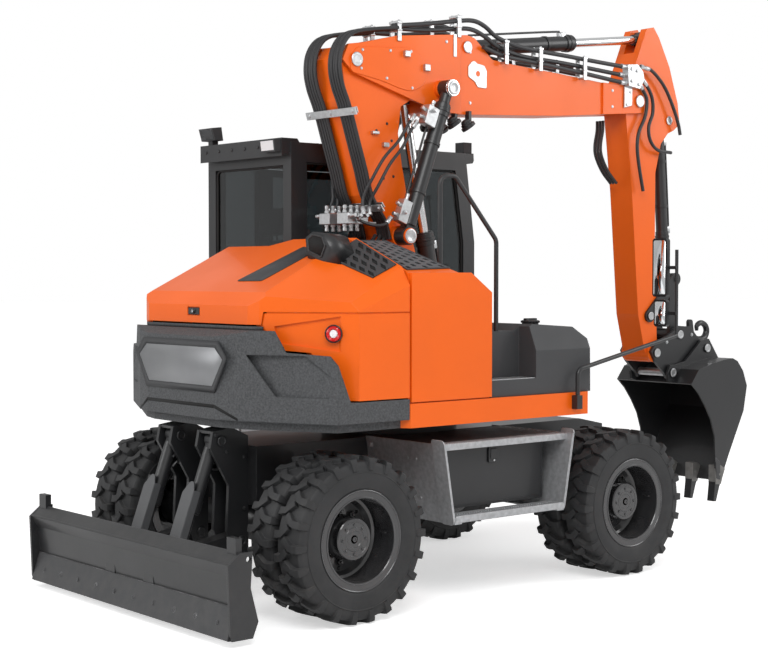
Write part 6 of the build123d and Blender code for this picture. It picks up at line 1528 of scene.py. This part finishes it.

# %% Blank plate, its border and the painted shade of the groove below
TAIL_X = -1.697
BORDER = np.array([(-0.402, 1.642), (-0.492, 1.56), (-0.372, 1.38), (0.372, 1.38), (0.492, 1.56), (0.402, 1.642)])
PLATE = np.array([(-0.388, 1.628), (-0.474, 1.558), (-0.36, 1.394), (0.36, 1.394), (0.474, 1.558), (0.388, 1.628)])
middle = np.array([0, 1.511])
on_tail = dict(first=(0, -1, 0), second=(0, 0, 1))
blank = plate(PLATE, 0.0021, 0.0034, 0.0005)
piece("weight_plate", outwards(flat_on(blank, (TAIL_X, 0, 0), **on_tail)), "upper", brushed_plate)
border = ring_plate(middle + (BORDER - middle) * (1.05, 1.2), middle + (PLATE - middle) * 1.006, 0.0006, 0.004)
piece("weight_border", outwards(flat_on(border, (TAIL_X, 0, 0), **on_tail)), "upper", tank_plastic)
# A black strip laid flat on the tail, and bent round its corners, is the painted shade of a groove.
groove_shades = [slab3([(-1.6975, y, z) for y, z in rect(-0.378, 1.262, 0.378, 1.283)[::-1]], 0.001)]
GROOVE_SHADE_END = np.array([(-1.6975, 0.382, 1.283), (-1.6465, 0.556, 1.208), (-1.6465, 0.556, 1.193),
                       (-1.6975, 0.382, 1.262)])
groove_shades += [slab3(GROOVE_SHADE_END * (1, side, 1), 0.001 * side) for side in (-1, 1)]
piece("weight_groove_shade", joined(*groove_shades), "upper", gasket_and_shade_black)

# %% Lips that close the seams of the engine cover
SEAM = [(-0.806, -1.1465), (-1.1885, -1.1465), (-1.517, -0.676)]


def strip(line, low, high, thick):
    """Upright slabs along a line of (x, y) points, between two heights."""
    return joined(*[slab3([(*p, low), (*q, low), (*q, high), (*p, high)], thick) for p, q in zip(line[:-1], line[1:])])


seam_lips = strip(SEAM, 1.8375, 1.844, 0.008)
piece("cover_seam_lips", joined(seam_lips, mirrored(seam_lips)), "upper", orange_paint)
REAR_LIP = [(-1.53, -0.656), (-1.545, -0.635), (-1.572, -0.56), (-1.572, 0.56), (-1.545, 0.635), (-1.53, 0.656)]
piece("weight_rear_lip", strip(REAR_LIP, 1.7355, 1.758, 0.012), "upper", grey_casting)

# %% [markdown]
# ## The cab
# Through the glass one sees a sprung seat, two consoles with levers and a small screen. The seat's
# cushions are crowned closed forms: a rounded box whose power curves are flat in the middle and tight
# at the rim, with sewn channels pressed in as shallow valleys and a cord round the seam. The CAD seat
# under them is plain, so the cushions stand for it. Windows sit in rubber, lamps have bowed lenses.

# %% Cushions
def bent(wave, power):
    """A sine or cosine raised to a power with its sign kept: below 1 it is flat in the middle and tight at the rim."""
    return np.sign(wave) * np.abs(wave) ** power


def cushion(size, channels=(), groove=0.1, bolster=0.0, power=(0.45, 0.28), rings=26, sides=56):
    """A crowned box: sines and cosines raised to a power, thinner along the channels, fuller at the sides."""
    a, b, c = np.asarray(size) / 2
    u = np.linspace(-np.pi / 2, np.pi / 2, rings)[:, None]
    v = np.linspace(-np.pi, np.pi, sides, endpoint=False)[None]
    waist = bent(np.cos(u), power[0])
    x = a * waist * bent(np.cos(v), power[1])
    y = b * waist * bent(np.sin(v), power[1])
    z = c * bent(np.sin(u), power[0]) * np.ones_like(v)
    fall = sum(np.exp(-((y / b - k) / 0.06) ** 2) for k in channels) if channels else 0 * y
    z = z * (1 - groove * fall * (z > 0)) + bolster * c * np.where(z > 0, np.abs(y / b) ** 3, 0) * np.cos(u)
    shape = np.stack([x, y, z], -1).reshape(-1, 3), [grid_faces(rings, sides, False, True)[:, ::-1]]
    angle = np.linspace(-np.pi, np.pi, 73)[:-1]
    seam = np.stack([a * bent(np.cos(angle), power[1]), b * bent(np.sin(angle), power[1]), 0 * angle], 1) * 1.003
    return outwards(shape), closed_tube(seam, 0.0045, 6)


def closed_tube(line, radius, sides):
    """A round skin along a closed flat loop in its own plane, with no ends."""
    line = np.asarray(line, float)
    ahead = unit(np.roll(line, -1, 0) - np.roll(line, 1, 0))
    up = unit(np.cross(line[1] - line[0], line[len(line) // 3] - line[0]))
    side = unit(np.cross(up, ahead))
    rings = rings_round(line, radius, side, np.broadcast_to(up, side.shape), sides)
    return outwards((rings, [grid_faces(len(line), sides, True, True)]))


def leaned(shape, middle, angle):
    """Turns a shape about Y by an angle in degrees and moves it to its middle."""
    a = np.radians(angle)
    turn = np.array([[np.cos(a), 0, -np.sin(a)], [0, 1, 0], [np.sin(a), 0, np.cos(a)]])
    return np.asarray(shape[0]) @ turn + np.asarray(middle, float), shape[1]


CAB_MIDDLE = 0.635
# name, size, where, lean, channels, side bolster
CUSHIONS = (
    ("seat_cushion", (0.49, 0.47, 0.118), (-0.19, CAB_MIDDLE, 1.681), -3.0, (-0.45, 0.45), 0.1),
    ("seat_back", (0.56, 0.45, 0.105), (-0.455, CAB_MIDDLE, 2.03), -78.0, (-0.45, 0.45), 0.1),
    ("seat_headrest", (0.19, 0.25, 0.07), (-0.523, CAB_MIDDLE, 2.43), -80.0, (), 0.0),
)
for name, size, where, lean, channels, bolster in CUSHIONS:
    body_shape, cord_shape = cushion(size, channels, 0.16, bolster)
    made = piece(name, leaned(body_shape, where, lean), "upper", seat_fabric, 60)
    piece(name + "_cord", leaned(cord_shape, where, lean), "upper", gasket_and_shade_black, 60)
    if name == "seat_cushion":
        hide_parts("seat")
stalks = joined(*[tube([(-0.512, CAB_MIDDLE + s * 0.045, 2.29), (-0.52, CAB_MIDDLE + s * 0.045, 2.35)], 0.007, 10)
                  for s in (-1, 1)])
recliner = boss_y((-0.42, 1.715), 0.045, CAB_MIDDLE - 0.25, CAB_MIDDLE + 0.25, 28, 0.004)
piece("seat_metal", joined(stalks, recliner), "upper", cab_plastic, 35)

# %% Levers, armrests and screen
def lever(x, y):
    """A rubber boot, a rod and a moulded grip, turned about one leaning axis."""
    axis = unit((0.1, 0.0, 1.0))
    boot = turned([(0, 0), (0.05, 0), (0.052, 0.01), (0.04, 0.016), (0.044, 0.024), (0.03, 0.032), (0.034, 0.04),
                   (0.018, 0.052),
                   (0.01, 0.06), (0, 0.06)], 24, (x, y, 1.84), axis)
    grip = turned([(0, 0.055), (0.014, 0.058), (0.018, 0.075), (0.022, 0.1), (0.019, 0.13), (0.024, 0.16),
                   (0.022, 0.185),
                   (0.012, 0.198), (0, 0.2)], 20, (x, y, 1.84), axis)
    return joined(boot, grip)


def armrest(y):
    shape, _ = cushion((0.33, 0.09, 0.05))
    return np.asarray(shape[0]) + (-0.2, y, 1.868), shape[1]


levers = [lever(0.06, CAB_MIDDLE + s * 0.315) for s in (-1, 1)]
screen = joined(leaned(box((-0.012, -0.12, -0.085), (0.012, 0.12, 0.085), 0.006), (0.69, 0.3, 2.06), 14),
                tube([(0.7, 0.3, 1.985), (0.74, 0.3, 1.9), (0.755, 0.3, 1.76)], 0.012, 10))
piece("cab_controls", joined(*levers, screen), "upper", cab_plastic, 40)
piece("screen_face", leaned(box((-0.0132, -0.105, -0.07), (-0.0122, 0.105, 0.07)), (0.69, 0.3, 2.06), 14), "upper",
      mirror_dark)
for name, s in (("armrest_right", -1), ("armrest_left", 1)):
    piece(name, armrest(CAB_MIDDLE + s * 0.315), "upper", seat_fabric, 60)

# %% Rubber round the windows
def frame_tube(points, radius=0.009):
    """A rubber bead round a window, as a rounded closed loop in its plane."""
    points = np.asarray(points, float)
    closed = np.concatenate([points, points[:1]])
    fine = along(closed, 0.05)[:-1]
    return closed_tube(fine, radius, 8)


rear = frame_tube([(-0.714, 0.235, 2.055), (-0.714, 1.035, 2.055), (-0.714, 1.035, 2.795), (-0.714, 0.235, 2.795)])
right = frame_tube([(-0.595, 0.157, 1.905), (-0.595, 0.157, 2.815), (0.745, 0.157, 2.815), (0.825, 0.157, 2.3),
                    (0.825, 0.157, 1.755),
                    (0.795, 0.157, 1.705)])
left = frame_tube([(-0.615, 1.113, 1.905), (-0.615, 1.113, 2.815), (-0.335, 1.113, 2.815), (-0.335, 1.113, 1.905)])
piece("window_rubber", joined(rear, right, left), "upper", gasket_and_shade_black, 50)
wiper = joined(tube([(0.905, 0.6, 2.64), (0.94, 0.62, 2.42), (0.93, 0.64, 2.25)], 0.006, 8),
               tube([(0.925, 0.64, 2.42), (0.922, 0.64, 2.1)], 0.008, 8),
               turned([(0, 0), (0.02, 0), (0.02, 0.02), (0.01, 0.026), (0, 0.026)], 20, (0.892, 0.6, 2.645), (1, 0, 0)))
piece("front_wiper", wiper, "upper", black_paint, 40)

visor_section = [(0.842, 2.868), (0.936, 2.88), (0.948, 2.9), (0.944, 2.952), (0.842, 2.952)]
piece("windscreen_visor", y_plate(visor_section, 0.152, 1.118, 0.003), "upper", black_paint, 30)

# %% Lenses, visor bolts and mirror glass
def lens_panel(low, high, axis_sign, x):
    """A bowed rounded panel facing along X, from (y, z) low to high."""
    (y0, z0), (y1, z1) = low, high
    outline = rounded(rect(y0, z0, y1, z1), 0.012, 3)
    middle_point = outline.mean(0)
    rings = [np.column_stack([np.full(len(outline), x + axis_sign * lift),
                              middle_point + (outline - middle_point) * share])
             for share, lift in ((1.0, 0.0), (0.98, 0.004), (0.8, 0.008), (0.4, 0.01))]
    return outwards((np.concatenate(rings), closed_skin(len(rings), len(outline))))


rear_lens = slab3([(-0.8475, 0.175, 2.892), (-0.8475, 0.315, 2.892), (-0.8555, 0.315, 2.955), (-0.8555, 0.175, 2.955)],
                  0.004)
piece("rear_work_lens", rear_lens, "upper", white_lens, 30)
head_lens = slab3([(-0.7845, 0.985, 3.02), (-0.7845, 1.125, 3.02), (-0.8035, 1.125, 3.088), (-0.8035, 0.985, 3.088)],
                  0.004)
front_lenses = [lens_panel((y - 0.036, 2.965), (y + 0.036, 3.018), 1, 0.9305) for y in (0.205, 1.065)]
piece("lamp_lenses", joined(head_lens, *front_lenses), "upper", clear_lens, 30)
visor_bolts = bolts_on([(-0.8005, y, 2.925) for y in np.linspace(0.42, 1.05, 5)], (-1, 0, 0), 0.018, 0.006)
roof_bolts = bolts_on([(x, y, 2.9505) for x in (-0.45, 0.1, 0.65) for y in (0.22, 1.05)], (0, 0, 1), 0.022, 0.008)
piece("cab_bolts", joined(visor_bolts, roof_bolts), "upper", black_paint, 30)
MIRROR_X, MIRROR_Y, MIRROR_RIM = 1.5895, -1.132, (0.012, 0.014)
mirror_parts = []
for low, high, width in ((1.91, 2.32, 0.13), (1.7, 1.89, 0.115)):
    outline = rounded(rect(MIRROR_Y + MIRROR_RIM[0], low + MIRROR_RIM[1], MIRROR_Y + width - MIRROR_RIM[0],
                           high - MIRROR_RIM[1]), 0.014, 3)
    points, faces = plate(outline, 0.0, 0.0015)
    mirror_parts.append(outwards((np.column_stack([MIRROR_X - points[:, 2], points[:, 0], points[:, 1]]), faces)))
piece("mirror_glass", joined(*mirror_parts), "upper", mirror_face)

# %% [markdown]
# ## Bucket and coupler
# A digging bucket wears bright at its teeth and lip. Each tooth sits on an adapter, a heavier block
# welded to the lip, so the adapters are plates a little wider than the teeth. The coupler carries a
# lock cylinder, a lock bar and a black lifting hook.

# %% Adapters and wear bars
TOOTH_PLACES = (-0.548, -0.316, -0.084, 0.148)
ADAPTER = [(2.905, 0.575), (2.968, 0.54), (2.935, 0.47), (2.918, 0.42), (2.85, 0.425), (2.852, 0.575)]
adapters = [y_plate(rounded(ADAPTER, 0.008, 2), y - 0.037, y + 0.037, 0.003) for y in TOOTH_PLACES]
adapters += [boss_y((2.895, 0.5), 0.01, y - 0.041, y + 0.041, 16, 0.001) for y in TOOTH_PLACES]
piece("tooth_adapters", joined(*adapters), "bucket", tooth_steel, 30)
wear = [y_plate([(3.0145, 0.6415), (3.1985, 0.9835), (3.2095, 0.9775), (3.0255, 0.6355)], y - 0.02, y + 0.02, 0.002)
        for y in (-0.54, -0.37, -0.2, -0.03, 0.14)]
cheeks = [y_plate(rounded([(2.842, 0.64), (2.9, 0.6), (2.905, 0.455), (2.857, 0.47)], 0.01, 2), y0, y1, 0.001)
          for y0, y1 in ((-0.5885, -0.5803), (0.1803, 0.1885))]
piece("bucket_wear_parts", joined(*wear, *cheeks), "bucket", worn_steel, 30)
COUPLER_BOLTS = ((2.52, 1.54), (2.82, 1.59), (2.9, 1.5))
coupler_parts = [boss_y((2.76, 1.545), 0.034, BOOM_Y - 0.1, BOOM_Y + 0.1, 28, 0.003),
                 box((2.72, BOOM_Y - 0.06, 1.5), (2.8, BOOM_Y + 0.06, 1.53), 0.004),
                 *[bolts_on(at_side(COUPLER_BOLTS, side * 0.16), (0, side, 0), 0.02, 0.008) for side in (-1, 1)]]
piece("coupler_fittings", joined(*coupler_parts), "bucket", fitting_metal, 30)
HOOK = [(2.96, 1.575), (3.08, 1.54), (3.165, 1.548), (3.203, 1.6), (3.185, 1.652), (3.13, 1.674), (3.082, 1.652),
        (3.08, 1.612)]
hook_line = along(at_side(smooth_line([(x, 0, z) for x, z in HOOK], 8)[:, [0, 2]], 0.0), 0.012)
hook_radius = np.interp(np.linspace(0, 1, len(hook_line)), [0, 0.4, 0.9, 1], [0.032, 0.028, 0.021, 0.014])
piece("lifting_hook", tube(hook_line, hook_radius, 14), "bucket", black_paint, 50)
lock_bar = boss_y((2.545, 1.303), 0.0315, BOOM_Y - 0.134, BOOM_Y + 0.134, 32, 0.002)
piece("lock_bar", lock_bar, "bucket", fitting_metal, 35)
print("all", len(PIECES), "pieces", sum(n for _, n in PIECES), "triangles; most:",
      sorted(PIECES, key=lambda p: -p[1])[:4])
